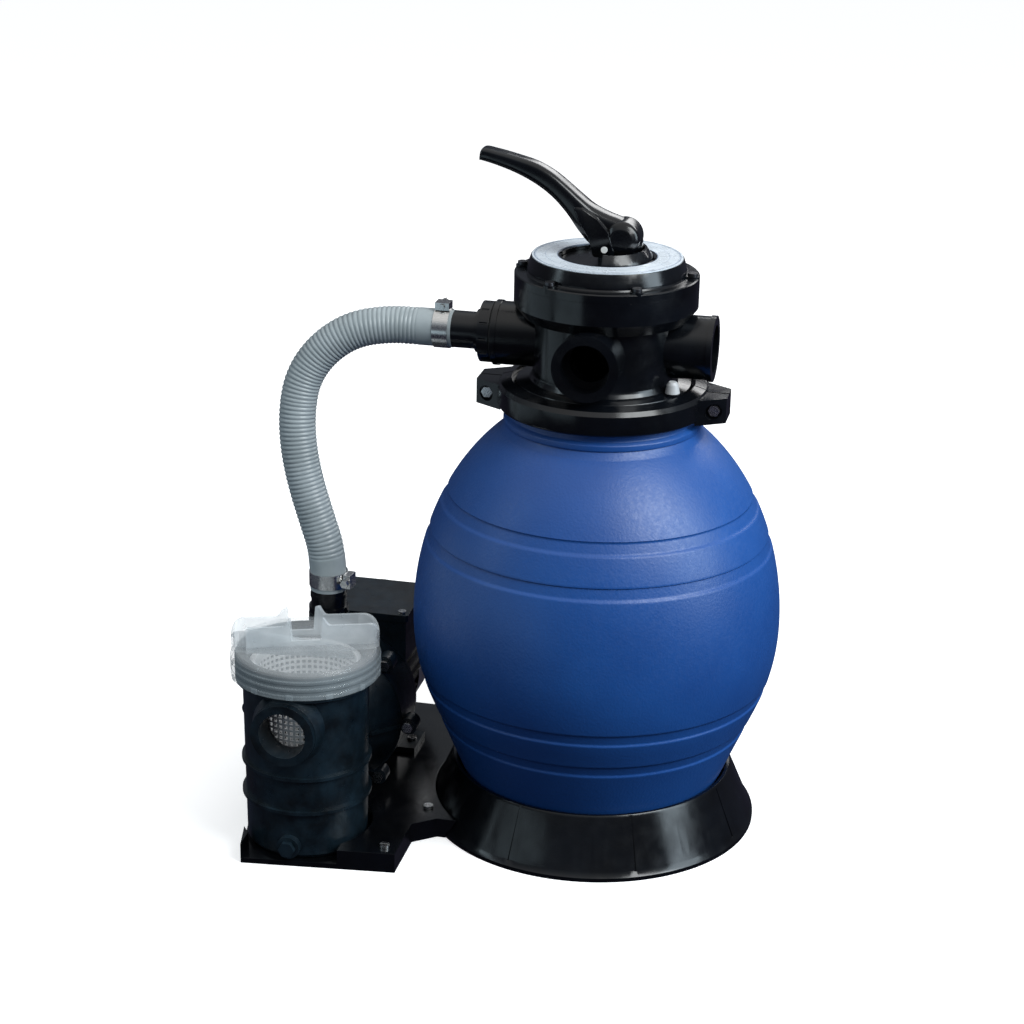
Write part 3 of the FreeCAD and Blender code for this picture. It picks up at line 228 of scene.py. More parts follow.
def softened(node, edge):
    """The node's own shape with its sharp edges rounded, as moulded or cast pieces have them."""
    mesh = NODES[node].data.copy()
    mesh.materials.clear()
    bm = bmesh.new()
    bm.from_mesh(mesh)
    bmesh.ops.remove_doubles(bm, verts=bm.verts, dist=3e-6)
    bmesh.ops.dissolve_limit(bm, angle_limit=math.radians(FLAT_ANGLE), verts=bm.verts, edges=bm.edges)
    bm.to_mesh(mesh)
    bm.free()
    rough = bpy.data.objects.new(node + "_rough", mesh)
    SCENE.collection.objects.link(rough)
    bevel = rough.modifiers.new("bevel", "BEVEL")
    bevel.width = edge * MM
    bevel.segments = 2
    bevel.limit_method = "ANGLE"
    bevel.angle_limit = math.radians(EDGE_ANGLE)
    bevel.miter_outer = "MITER_ARC"
    bevel.use_clamp_overlap = True
    graph = bpy.context.evaluated_depsgraph_get()
    made = bpy.data.meshes.new_from_object(rough.evaluated_get(graph))
    bpy.data.objects.remove(rough)
    piece = bpy.data.objects.new(node + "_moulded", made)
    SCENE.collection.objects.link(piece)
    set_smooth(made, 40.0)
    evened = piece.modifiers.new("even_shading", "WEIGHTED_NORMAL")
    evened.keep_sharp = True
    return piece


# ---- materials --------------------------------------------------------------------
def shader(name):
    material = bpy.data.materials.new(name)
    material.use_nodes = True
    tree = material.node_tree
    return material, tree, tree.nodes["Principled BSDF"]


def noise(tree, scale, detail=3.0, roughness=0.55, stretch=(1, 1, 1)):
    place = tree.nodes.new("ShaderNodeTexCoord")
    mapping = tree.nodes.new("ShaderNodeMapping")
    mapping.inputs["Scale"].default_value = stretch
    texture = tree.nodes.new("ShaderNodeTexNoise")
    texture.inputs["Scale"].default_value = scale
    texture.inputs["Detail"].default_value = detail
    texture.inputs["Roughness"].default_value = roughness
    tree.links.new(place.outputs["Object"], mapping.inputs["Vector"])
    tree.links.new(mapping.outputs["Vector"], texture.inputs["Vector"])
    return texture.outputs["Fac"]


def between(tree, factor, low, high, from_low=0.3, from_high=0.7):
    """A number that follows the factor from low to high."""
    node = tree.nodes.new("ShaderNodeMapRange")
    node.inputs["From Min"].default_value = from_low
    node.inputs["From Max"].default_value = from_high
    node.inputs["To Min"].default_value = low
    node.inputs["To Max"].default_value = high
    tree.links.new(factor, node.inputs["Value"])
    return node.outputs["Result"]


def ramp(tree, factor, stops):
    node = tree.nodes.new("ShaderNodeValToRGB")
    while len(node.color_ramp.elements) < len(stops):
        node.color_ramp.elements.new(0.5)
    for element, (position, colour) in zip(node.color_ramp.elements, stops):
        element.position = position
        element.color = (*colour, 1.0)
    tree.links.new(factor, node.inputs["Fac"])
    return node.outputs["Color"]


def mixed(tree, factor, low, high):
    """A colour that goes from low to high with the factor."""
    node = tree.nodes.new("ShaderNodeMix")
    node.data_type = "RGBA"
    tree.links.new(factor, node.inputs[0])
    tree.links.new(low, node.inputs[6])
    tree.links.new(high, node.inputs[7])
    return node.outputs[2]


def object_place(tree):
    """X, Y and Z of the point being shaded, in the piece's own metres."""
    place = tree.nodes.new("ShaderNodeTexCoord")
    parts = tree.nodes.new("ShaderNodeSeparateXYZ")
    tree.links.new(place.outputs["Object"], parts.inputs["Vector"])
    return parts.outputs


def bump(tree, bsdf, layers):
    """Stacks height layers, each (height, strength, distance in metres), onto the surface."""
    normal = None
    for height, strength, distance in layers:
        node = tree.nodes.new("ShaderNodeBump")
        node.inputs["Strength"].default_value = strength
        node.inputs["Distance"].default_value = distance
        tree.links.new(height, node.inputs["Height"])
        if normal:
            tree.links.new(normal, node.inputs["Normal"])
        normal = node.outputs["Normal"]
    tree.links.new(normal, bsdf.inputs["Normal"])


def plastic(name, dark, light, rough=(0.25, 0.38), cloud=14.0, grain=900.0, depth=0.00006, shine=0.5):
    material, tree, bsdf = shader(name)
    clouds = noise(tree, cloud, 5.0, 0.6)
    fine = noise(tree, grain, 2.0)
    tree.links.new(ramp(tree, clouds, [(0.35, dark), (0.68, light)]), bsdf.inputs["Base Color"])
    tree.links.new(between(tree, noise(tree, cloud * 3, 4.0), *rough), bsdf.inputs["Roughness"])
    bsdf.inputs["Specular IOR Level"].default_value = shine
    bump(tree, bsdf, [(fine, 0.35, depth), (clouds, 0.12, depth * 6)])
    return material


def tank_blue():
    """Blow-moulded polyethylene: fine pebbled skin, slightly uneven colour."""
    material, tree, bsdf = shader("tank_blue")
    clouds = noise(tree, 7.0, 4.0)
    colour = ramp(tree, clouds, [(0.3, (0.008, 0.056, 0.235)), (0.7, (0.012, 0.078, 0.300))])
    tree.links.new(colour, bsdf.inputs["Base Color"])
    tree.links.new(between(tree, noise(tree, 260.0, 2.0), 0.36, 0.5), bsdf.inputs["Roughness"])
    bsdf.inputs["Specular IOR Level"].default_value = 0.5
    pebbles = noise(tree, 420.0, 1.5, 0.4)
    bump(tree, bsdf, [(pebbles, 0.5, 0.00035), (noise(tree, 45.0, 2.0), 0.25, 0.0005)])
    return material


def metal(name, colour, rough, grain=(1, 1, 14), scratches=700.0):
    material, tree, bsdf = shader(name)
    streaks = noise(tree, scratches, 3.0, 0.6, grain)
    low = tuple(0.8 * c for c in colour)
    tree.links.new(ramp(tree, streaks, [(0.3, low), (0.7, colour)]), bsdf.inputs["Base Color"])
    tree.links.new(between(tree, streaks, rough, rough + 0.16), bsdf.inputs["Roughness"])
    bsdf.inputs["Metallic"].default_value = 1.0
    bump(tree, bsdf, [(streaks, 0.15, 0.00003)])
    return material


def clear_plastic():
    """Milky clear plastic: the lid's skirt lets the pot show; its disc and wings are painted lighter than the
    skirt, a painted highlight for the light they catch.
    """
    material, tree, bsdf = shader("clear_plastic")
    haze = noise(tree, 60.0, 4.0)
    skirt = ramp(tree, haze, [(0.3, (0.36, 0.42, 0.45)), (0.7, (0.46, 0.52, 0.55))])
    # Painted highlight: the disc and wings get a lighter colour than the skirt, though the plastic is the
    # same.
    disc = ramp(tree, haze, [(0.3, (0.66, 0.71, 0.74)), (0.7, (0.80, 0.84, 0.86))])
    # Height mask that hands the lid from the skirt's colour to the lighter, painted-highlight disc colour.
    height = between(tree, object_place(tree)["Z"], 0.0, 1.0, 0.190, 0.215)
    upper = between(tree, height, 0.0, 1.0, 0.2, 0.36)
    tree.links.new(mixed(tree, upper, skirt, disc), bsdf.inputs["Base Color"])
    tree.links.new(between(tree, haze, 0.06, 0.16), bsdf.inputs["Roughness"])
    skirt_cover = (0.29, 0.29, 0.29)
    disc_cover = (0.19, 0.19, 0.19)
    wing_cover = (0.33, 0.33, 0.33)
    stops = [(0.2, skirt_cover), (0.36, disc_cover), (0.64, disc_cover), (0.70, wing_cover)]
    tree.links.new(ramp(tree, height, stops), bsdf.inputs["Alpha"])
    bump(tree, bsdf, [(noise(tree, 35.0, 2.0), 0.08, 0.0002)])
    return material


def label_print():
    """Blank silver foil with pale printed rings, no lettering."""
    material, tree, bsdf = shader("label_print")
    place = object_place(tree)
    radius = tree.nodes.new("ShaderNodeVectorMath")
    radius.operation = "LENGTH"
    flat = tree.nodes.new("ShaderNodeCombineXYZ")
    tree.links.new(place["X"], flat.inputs["X"])
    tree.links.new(place["Y"], flat.inputs["Y"])
    tree.links.new(flat.outputs["Vector"], radius.inputs[0])
    foil = (0.60, 0.68, 0.77)
    ink = (0.30, 0.36, 0.46)
    white = (0.78, 0.85, 0.92)
    reach = between(tree, radius.outputs["Value"], 0.0, 1.0, 0.042, 0.072)
    bands = [
        (0.0, ink), (0.16, white), (0.50, foil), (0.53, white), (0.80, foil), (0.84, ink), (0.87, white),
    ]
    colour = ramp(tree, reach, bands)
    colour.node.color_ramp.interpolation = "CONSTANT"
    tree.links.new(colour, bsdf.inputs["Base Color"])
    tree.links.new(between(tree, noise(tree, 90.0), 0.22, 0.36), bsdf.inputs["Roughness"])
    bsdf.inputs["Metallic"].default_value = 0.25
    bump(tree, bsdf, [(noise(tree, 500.0), 0.1, 0.00004)])
    return material


def make_materials():
    return {
        "blue_tank": tank_blue(),
        "gloss_black": plastic(
            "gloss_black", (0.0015, 0.0018, 0.0025), (0.003, 0.004, 0.006), (0.14, 0.26), 22.0, shine=0.45),
        "moulded_black": plastic(
            "moulded_black", (0.002, 0.004, 0.006), (0.009, 0.020, 0.030), (0.26, 0.42), 34.0, 700.0,
            0.0001, 0.45),
        "motor_black": plastic(
            "motor_black", (0.005, 0.005, 0.006), (0.011, 0.011, 0.012), (0.35, 0.5), 40.0, 1200.0,
            0.0001, 0.4),
        "sand": plastic("sand", (0.42, 0.33, 0.20), (0.74, 0.64, 0.46), (0.8, 0.95), 900.0, 1500.0, 0.0004),
        "white_pipe": plastic("white_pipe", (0.74, 0.74, 0.71), (0.84, 0.84, 0.82), (0.3, 0.42), 18.0),
        "white_basket": plastic("white_basket", (0.78, 0.78, 0.78), (0.88, 0.88, 0.88), (0.32, 0.44), 30.0),
        "grey_hose": plastic(
            "grey_hose", (0.29, 0.335, 0.35), (0.37, 0.42, 0.44), (0.28, 0.40), 30.0, 800.0),
        "grey_plastic": plastic("grey_plastic", (0.40, 0.41, 0.42), (0.52, 0.53, 0.54), (0.35, 0.5), 40.0),
        "rubber_seal": plastic(
            "rubber_seal", (0.010, 0.010, 0.010), (0.02, 0.02, 0.02), (0.6, 0.75), 60.0, 1500.0, 0.0001),
        "clear_lid": clear_plastic(),
        "silver_label": label_print(),
        "stainless": metal("stainless", (0.72, 0.72, 0.71), 0.16),
        "laminations": metal("laminations", (0.30, 0.30, 0.32), 0.45, (1, 60, 1)),
        "copper": metal("copper", (0.62, 0.27, 0.12), 0.35, (1, 40, 1)),
        "dark_zinc": metal("dark_zinc", (0.10, 0.10, 0.11), 0.3),
        "rating_foil": metal("rating_foil", (0.80, 0.81, 0.82), 0.3, (1, 1, 1), 200.0),
    }


# ---- hose -------------------------------------------------------------------------
HOSE_ROUTE = (
    (-145, 0, 483), (-176, 0, 483), (-209, -3, 483.5), (-243, -9, 477), (-271, -14, 457),
    (-289, -19, 430), (-294, -25, 399), (-292, -30, 364), (-284, -34, 329), (-272, -37, 293),
    (-260, -38, 257), (-260, -38, 221),
)
HOSE_R = 17.9
HOSE_INNER_R = 16.3
HOSE_PITCH = 4.2
HOSE_RIDGE = 0.7
HOSE_AROUND = 56
CUFF = 33.0


def hose_spline():
    """Points along the smooth line that the route's points pull into shape, in metres."""
    curve = bpy.data.curves.new("hose_line", "CURVE")
    curve.dimensions = "3D"
    curve.resolution_u = 24
    spline = curve.splines.new("NURBS")
    spline.points.add(len(HOSE_ROUTE) - 1)
    for point, place in zip(spline.points, HOSE_ROUTE):
        point.co = (place[0] * MM, place[1] * MM, place[2] * MM, 1.0)
    spline.order_u = 3
    spline.use_endpoint_u = True
    line = bpy.data.objects.new("hose_line", curve)
    SCENE.collection.objects.link(line)
    graph = bpy.context.evaluated_depsgraph_get()
    mesh = bpy.data.meshes.new_from_object(line.evaluated_get(graph))
    points = [v.co.copy() for v in mesh.vertices]
    bpy.data.objects.remove(line)
    return points


def even_points(points, step):
    """The same line with points one step apart, and their distance from its start."""
    out = [points[0]]
    marks = [0.0]
    travelled = 0.0
    wanted = step
    for a, b in zip(points, points[1:]):
        span = (b - a).length
        while span > 0 and travelled + span >= wanted:
            out.append(a.lerp(b, (wanted - travelled) / span))
            marks.append(wanted)
            wanted += step
        travelled += span
    if travelled - marks[-1] > step * 0.2:
        out.append(points[-1])
        marks.append(travelled)
    else:
        out[-1] = points[-1]
        marks[-1] = travelled
    return out, marks, travelled


def hose_radius(mark, total):
    """Ridged along the middle, smooth in the cuffs at both ends."""
    edge = min(mark, total - mark) / MM
    if edge < CUFF:
        return HOSE_R
    swell = min(1.0, (edge - CUFF) / HOSE_PITCH)
    wave = 0.5 - 0.5 * math.cos(2 * math.pi * (edge - CUFF) / HOSE_PITCH)
    return HOSE_R - HOSE_RIDGE * swell * wave ** 1.6


def tube_rings(points, radii):
    """Rings of corners square to the line, with no twist from one to the next."""
    rings = []
    tangent = (points[1] - points[0]).normalized()
    side = tangent.orthogonal().normalized()
    for i, (point, radius) in enumerate(zip(points, radii)):
        before = points[max(i - 1, 0)]
        after = points[min(i + 1, len(points) - 1)]
        tangent = (after - before).normalized()
        side = (side - tangent * side.dot(tangent)).normalized()
        other = tangent.cross(side)
        ring = []
        for k in range(HOSE_AROUND):
            angle = 2 * math.pi * k / HOSE_AROUND
            ring.append(point + (side * math.cos(angle) + other * math.sin(angle)) * radius)
        rings.append(ring)
    return rings


def make_hose(materials):
    line = hose_spline()
    points, marks, total = even_points(line, HOSE_PITCH / 8 * MM)
    outer = tube_rings(points, [hose_radius(m, total) * MM for m in marks])
    inner = tube_rings(points, [HOSE_INNER_R * MM for m in marks])
    rings = outer + inner[::-1]
    verts = [v for ring in rings for v in ring]
    faces = []
    count = len(rings)
    for i in range(count):
        j = (i + 1) % count
        here = i * HOSE_AROUND
        there = j * HOSE_AROUND
        for k in range(HOSE_AROUND):
            m = (k + 1) % HOSE_AROUND
            faces.append((here + k, here + m, there + m, there + k))
    hose = new_piece("hose_corrugated", verts, faces, 60.0)
    finish_piece(hose, materials["grey_hose"], "hose")


# ---- tank -------------------------------------------------------------------------
TANK_R = 177.95
TANK_MID_Z = 208.0
TANK_RISE = 224.5
TANK_DROP = 190.0
TANK_CONE_Z = 130.0
BAND_HEIGHTS = (330.0, 292.0, 149.0, 110.0)
BAND_WIDTH = 13.0
BAND_DEPTH = 1.6
TANK_WALL = 5.2
SIDE_LOW_Z = 25.0
SIDE_TOP_Z = 397.0
SIDE_STEPS = 376
INSIDE_LOW_Z = 26.0
INSIDE_TOP_Z = 398.0
INSIDE_STEPS = 39


def tank_radius(z):
    if z >= TANK_MID_Z:
        return TANK_R * math.sqrt(max(0.0, 1 - ((z - TANK_MID_Z) / TANK_RISE) ** 2))
    share = (TANK_MID_Z - max(z, TANK_CONE_Z)) / TANK_DROP
    edge = TANK_R * math.sqrt(1 - share ** 2)
    slope = TANK_R * share / TANK_DROP / math.sqrt(1 - share ** 2)
    return edge - slope * (max(z, TANK_CONE_Z) - z)


def band_depth(z):
    """How far a moulded band draws the wall in at height z: a crisp step above, a soft one below."""
    depth = 0.0
    for middle in BAND_HEIGHTS:
        above = middle + BAND_WIDTH / 2 - z
        below = z - (middle - BAND_WIDTH / 2)
        if above > 0 and below > 0:
            crisp = min(1.0, above / 1.6)
            soft = min(1.0, below / 2.4)
            ease = min(crisp, soft)
            depth = BAND_DEPTH * ease * ease * (3 - 2 * ease)
    return depth


def make_tank(materials):
    foot = [(0.5, 14.2), (99.0, 14.2)]
    side = []
    for k in range(SIDE_STEPS + 1):
        z = SIDE_LOW_Z + (SIDE_TOP_Z - SIDE_LOW_Z) * k / SIDE_STEPS
        side.append((tank_radius(z) - band_depth(z), z))
    neck = rounded([
        (93.8, 404), (93.8, 409.5), (89.9, 412.5), (89.9, 425.8), (93.9, 427), (93.9, 433.9),
        (82.2, 433.9), (82.2, 401),
    ], 1.8)
    inside = []
    for k in range(INSIDE_STEPS + 1):
        z = INSIDE_TOP_Z - (INSIDE_TOP_Z - INSIDE_LOW_Z) * k / INSIDE_STEPS
        inside.append((tank_radius(z) - TANK_WALL, z))
    inside += [(95, 19.2), (0.5, 19.2)]
    points = [Vector(p) for p in foot + side] + neck + [Vector(p) for p in inside]
    verts, faces = lathe(points, 192)
    tank = new_piece("tank_skin", verts, faces, 42.0)
    finish_piece(tank, materials["blue_tank"], "tank_shell")


# ---- lever ------------------------------------------------------------------------
# x, upper z, lower z and half width along the lever, from its tip to its hub
LEVER_STATIONS = (
    (-121.0, 651.5, 646.5, 8.0), (-118.0, 658.4, 646.2, 10.5), (-104.0, 656.6, 642.6, 11.0),
    (-86.0, 652.6, 636.4, 11.2), (-68.0, 647.6, 627.6, 11.4), (-52.0, 639.6, 616.4, 12.0),
    (-38.0, 629.4, 602.0, 13.0), (-26.0, 619.8, 586.0, 14.2), (-14.0, 611.0, 574.0, 14.6),
    (0.0, 604.6, 571.0, 14.0), (12.0, 600.6, 570.0, 13.0), (22.0, 595.4, 569.6, 11.4),
    (29.0, 589.0, 570.4, 8.0), (32.2, 582.0, 573.0, 4.0),
)
LEVER_AROUND = 40
HUB_PLACE = (14.5, 0, 583.0)
CHEEK_MIDDLE = (-8.0, 588.0)
CHEEK_INNER = 8.0
CHEEK_OUTER = 18.6
CHEEK_CHAMFER = 1.6
CHEEK_SHRINK = 0.9


def lever_section(x, top, low, half):
    """Rounded box section standing square to X, flatter above than below."""
    ring = []
    middle = (top + low) / 2
    tall = (top - low) / 2
    for k in range(LEVER_AROUND):
        angle = 2 * math.pi * k / LEVER_AROUND
        c = math.cos(angle)
        s = math.sin(angle)
        power = 0.52 if s > 0 else 0.7
        y = half * math.copysign(abs(c) ** power, c)
        z = middle + tall * math.copysign(abs(s) ** power, s)
        ring.append((x * MM, y * MM, z * MM))
    return ring


def lever_hub():
    """The round cam at the lever's foot, its axis along the pin."""
    outline = [(0, -18.4, 0), (10, -18.4), (16.8, -14, 12), (16.8, 14, 12), (10, 18.4), (0, 18.4, 0)]
    lay = Matrix.Translation(Vector(HUB_PLACE) * MM) @ Matrix.Rotation(math.pi / 2, 4, "X")
    return placed(lathe(rounded(outline, 5.0, 7), 64), lay)


def lever_cheek(side):
    """One side of the fork that holds the pin: wide at the pin, running up into the arm."""
    outline = [
        (-11, 566), (8, 566), (9.5, 572), (4, 590), (-8, 603), (-22, 611), (-31, 612), (-26, 600), (-15, 582),
    ]
    corners = rounded(outline, 4.0, 3)
    middle = Vector(CHEEK_MIDDLE)
    levels = ((CHEEK_INNER, 1.0), (CHEEK_OUTER - CHEEK_CHAMFER, 1.0), (CHEEK_OUTER, CHEEK_SHRINK))
    verts = []
    for depth, shrink in levels:
        for corner in corners:
            x, z = middle + (corner - middle) * shrink
            verts.append((x * MM, side * depth * MM, z * MM))
    count = len(corners)
    faces = []
    for ring in (0, count):
        for i in range(count):
            j = (i + 1) % count
            faces.append((ring + i, ring + j, ring + count + j, ring + count + i))
    faces.append(tuple(range(count)))
    faces.append(tuple(range(2 * count, 3 * count)))
    return verts, faces


def make_lever(materials):
    rings = [lever_section(*row) for row in smooth_through(LEVER_STATIONS, 7)]
    verts = [v for ring in rings for v in ring]
    faces = []
    for i in range(len(rings) - 1):
        for k in range(LEVER_AROUND):
            m = (k + 1) % LEVER_AROUND
            here = i * LEVER_AROUND
            there = here + LEVER_AROUND
            faces.append((here + k, here + m, there + m, there + k))
    faces.append(tuple(range(LEVER_AROUND)))
    faces.append(tuple(range(len(verts) - LEVER_AROUND, len(verts)))[::-1])
    groups = [(verts, faces), lever_hub(), lever_cheek(-1), lever_cheek(1)]
    verts, faces = join_lists(groups)
    lever = new_piece("lever_moulding", verts, faces, 50.0)
    finish_piece(lever, materials["gloss_black"], "handle_lever")


# ---- strainer lid and basket -------------------------------------------------------
POT_X = -253.0
POT_Y = -137.0
POT_PLACE = Matrix.Translation((POT_X * MM, POT_Y * MM, 0))
WING_REACH = 70.0
WING_HALF = 14.0
WING_WALL = 2.4
WING_TOP = 227.5
HORN_TOP = 236.5
LID_TURN = 20.0
BRIDGE_TOP = 213.0
BRIDGE_HALF = 15.5
WING_FOOT = 201.5
WING_BEND = 13.0
WING_LEAN = 0.6
HORN_REACH = 7.0
TEETH = 12


def wing_height(x):
    """Top of the grip's wall: rounded outer corners, a horn at each inner end, a low bridge between."""
    inward = abs(x) - BRIDGE_HALF
    if inward < 0:
        return BRIDGE_TOP
    over = max(0.0, abs(x) - (WING_REACH - WING_BEND)) / WING_BEND
    level = WING_TOP - WING_BEND * (1 - math.sqrt(max(0.0, 1 - over ** 2)))
    return level + (HORN_TOP - WING_TOP) * max(0.0, 1 - inward / HORN_REACH) ** 2


def corner_arc(cx, cy, bend, start):
    """A quarter circle of points about (cx, cy), from the start angle in degrees."""
    arc = []
    for k in range(9):
        angle = math.radians(start + 90 * k / 8)
        arc.append((cx + bend * math.cos(angle), cy + bend * math.sin(angle)))
    return arc


def wing_path(offset):
    """Closed round-ended loop of the grip's wall in plan."""
    half = WING_HALF - offset
    reach = WING_REACH - offset
    bend = min(half, 12.0)
    xs = list(range(-56, 57, 2))
    xs += [-BRIDGE_HALF, BRIDGE_HALF, -BRIDGE_HALF - 0.8, BRIDGE_HALF + 0.8]
    xs = sorted(x for x in xs if abs(x) < reach - bend)
    points = [(x, -half) for x in xs]
    points += corner_arc(reach - bend, bend - half, bend, -90)
    points += corner_arc(reach - bend, half - bend, bend, 0)
    points += [(x, half) for x in reversed(xs)]
    points += corner_arc(bend - reach, half - bend, bend, 90)
    points += corner_arc(bend - reach, bend - half, bend, 180)
    return points


def grip_wall():
    """The finger wings' thin wall, its top edge rounded."""
    outer = wing_path(0.0)
    inner = wing_path(WING_WALL)
    verts = []
    for (ox, oy), (ix, iy) in zip(outer, inner):
        top = wing_height(ox)
        verts += [
            (ox, oy, WING_FOOT), (ox, oy, top - WING_LEAN),
            (ox + (ix - ox) * 0.25, oy + (iy - oy) * 0.25, top),
            (ix - (ix - ox) * 0.25, iy - (iy - oy) * 0.25, top),
            (ix, iy, top - WING_LEAN), (ix, iy, WING_FOOT),
        ]
    # Known fault: the inner path has four points fewer than the outer one, so the last faces reach
    # past this list, into the lid's first tooth.
    count = len(outer)
    faces = []
    for i in range(count):
        j = (i + 1) % count
        for k in range(6):
            m = (k + 1) % 6
            faces.append((i * 6 + k, j * 6 + k, j * 6 + m, i * 6 + m))
    return [Vector(v) * MM for v in verts], faces


def make_strainer_lid(materials):
    outline = rounded([
        (67.3, 176.2), (71, 176.2), (71, 180), (70, 181), (70, 184), (71.4, 185), (71.4, 187.5),
        (70, 188.5), (70, 191), (71.4, 192), (71.4, 194.5), (70.2, 195.5), (70.2, 198.5, 2),
        (67, 203.2, 2), (56, 204.2), (40, 205.2), (0.4, 205.8), (0.4, 202.4), (56, 201.4), (67.3, 199.4),
    ], 0.8, 3)
    groups = [lathe(outline, 144), grip_wall()]
    for k in range(TEETH):
        turn = Matrix.Rotation(2 * math.pi * (k + 0.5) / TEETH, 4, "Z")
        tooth = rounded_box((1.6, 7, 5.5), (71.0, 0, 179.2), 0.6, 2)
        groups.append(placed(tooth, turn))
    turned = POT_PLACE @ Matrix.Rotation(math.radians(LID_TURN), 4, "Z")
    verts, faces = placed(join_lists(groups), turned)
    lid = new_piece("clear_lid", verts, faces, 35.0)
    finish_piece(lid, materials["clear_lid"], "strainer_lid")


def perforated(rows, columns, place, hole, thick):
    """A closed wall of square holes. place(u, v, w) puts a point at column u, row v and depth w."""
    verts = []
    faces = []
    index = {}

    def corner(u, v, w):
        key = (round(u % columns, 4), round(v, 4), w)
        if key not in index:
            index[key] = len(verts)
            verts.append(place(key[0], v, w * thick))
        return index[key]

    gap = hole / 2
    for i in range(columns):
        u = (i, i + 0.5 - gap, i + 0.5 + gap, i + 1)
        for j in range(rows):
            v = (j, j + 0.5 - gap, j + 0.5 + gap, j + 1)
            for w in (0, 1):
                for a in range(3):
                    for b in range(3):
                        if a == 1 and b == 1:
                            continue
                        quad = [corner(u[a], v[b], w), corner(u[a + 1], v[b], w),
                                corner(u[a + 1], v[b + 1], w), corner(u[a], v[b + 1], w)]
                        faces.append(quad if w else quad[::-1])
            rim = [(u[1], v[1]), (u[2], v[1]), (u[2], v[2]), (u[1], v[2])]
            for a in range(4):
                p = rim[a]
                q = rim[(a + 1) % 4]
                faces.append([corner(*p, 0), corner(*q, 0), corner(*q, 1), corner(*p, 1)])
        for v in (0, rows):
            for a in range(3):
                b = a + 1
                faces.append([corner(u[a], v, 0), corner(u[b], v, 0), corner(u[b], v, 1), corner(u[a], v, 1)])
    return verts, faces


BASKET_ROWS = 24
BASKET_COLUMNS = 54
BASKET_FOOT_Z = 46.0
BASKET_TOP_Z = 178.0
BASKET_FOOT_R = 43.0
BASKET_FLARE = 4.6
BASKET_WALL = 1.4
BASKET_HOLE = 0.62
BASKET_HOOPS = (79.0, 112.0, 145.0)


def basket_radius(z):
    return BASKET_FOOT_R + BASKET_FLARE * (z - BASKET_FOOT_Z) / (BASKET_TOP_Z - BASKET_FOOT_Z)


def basket_wall(u, v, w):
    """The wall's point at column u and row v, w millimetres out from its inner face."""
    angle = 2 * math.pi * u / BASKET_COLUMNS
    z = BASKET_FOOT_Z + (BASKET_TOP_Z - BASKET_FOOT_Z) * v / BASKET_ROWS
    radius = basket_radius(z) + w
    return (radius * math.cos(angle) * MM, radius * math.sin(angle) * MM, z * MM)


def make_basket(materials):
    foot = [(0.5, 42.2), (43.6, 42.2), (44.6, 47), (42.8, 47), (42, 44.4), (0.5, 44.4)]
    rim = [(47.4, 176.5), (49, 176.5), (49.4, 184.2), (53.3, 184.2), (53.3, 186.9), (47.8, 186.9)]
    groups = [perforated(BASKET_ROWS, BASKET_COLUMNS, basket_wall, BASKET_HOLE, BASKET_WALL)]
    groups += [lathe(rounded(outline, 0.5, 2), 96) for outline in (foot, rim)]
    for z in BASKET_HOOPS:
        r = basket_radius(z) + BASKET_WALL
        hoop = [(r - 0.4, z - 1), (r + 0.6, z - 1), (r + 0.6, z + 1), (r - 0.4, z + 1)]
        groups.append(lathe(rounded(hoop, 0.3, 2), 96))
    verts, faces = placed(join_lists(groups), POT_PLACE)
    basket = new_piece("basket_mesh", verts, faces, 30.0)
    finish_piece(basket, materials["white_basket"], "strainer_basket")


# ---- rating plate ------------------------------------------------------------------
PLATE_R = 62.4
PLATE_Y = (48.0, 92.0)
PLATE_ANGLES = (-34.0, 4.0)
PLATE_STEPS = 10
AXIS_Z = 100.0


def make_rating_plate(materials):
    """Blank foil plate on the motor's side towards the tank."""
    first, last = PLATE_ANGLES
    verts = []
    for i in range(PLATE_STEPS + 1):
        angle = math.radians(first + (last - first) * i / PLATE_STEPS)
        for y in PLATE_Y:
            for r in (PLATE_R - 0.3, PLATE_R + 0.15):
                x = POT_X + r * math.cos(angle)
                verts.append((x * MM, y * MM, (AXIS_Z + r * math.sin(angle)) * MM))
    end = 4 * PLATE_STEPS
    faces = []
    for a in range(0, end, 4):
        b = a + 4
        faces += [(a + 1, a + 3, b + 3, b + 1), (a, b, b + 2, a + 2)]
        faces += [(a, a + 1, b + 1, b), (a + 2, b + 2, b + 3, a + 3)]
    faces += [(0, 2, 3, 1), (end, end + 1, end + 3, end + 2)]
    plate = new_piece("rating_plate", verts, faces, 30.0)
    add_trim(plate, materials["rating_foil"], "motor_shell")


# ---- pieces whose own shape is kept ------------------------------------------------
# Width of each node's rounded edges, in millimetres
SOFT_EDGES = {
    "tank_base": 1.0, "pump_platform": 1.6, "valve_body": 1.0, "valve_lid": 0.9, "clamp_half_front": 1.4,
    "clamp_half_rear": 1.4, "hose_adapter": 0.7, "pump_hose_tail": 0.7, "pump_body": 1.0,
    "volute_casing": 1.0, "terminal_box": 0.8, "terminal_box_lid": 1.2, "fan_cover": 0.8,
    "index_collar": 0.6, "drain_plug": 0.5, "inlet_socket": 0.9, "gauge_plug": 0.4, "seal_plate": 0.6,
    "motor_foot": 0.8, "flange_bolts": 0.4, "clamp_bolts": 0.4, "hose_clamp_bands": 0.4,
    "hose_clamp_screws": 0.3, "platform_screws": 0.4, "lid_screws": 0.4, "cable_gland": 0.4,
}
OWN_LOOK = {"lid_screws": "dark_zinc"}


def make_softened(materials):
    for node, edge in SOFT_EDGES.items():
        piece = softened(node, edge)
        finish_piece(piece, materials[OWN_LOOK.get(node, SLOTS[node])], node)


def dress_cad(materials):
    """Every CAD node still showing gets its slot's material."""
    for node, piece in NODES.items():
        piece.data.materials.clear()
        piece.data.materials.append(materials[SLOTS[node]])


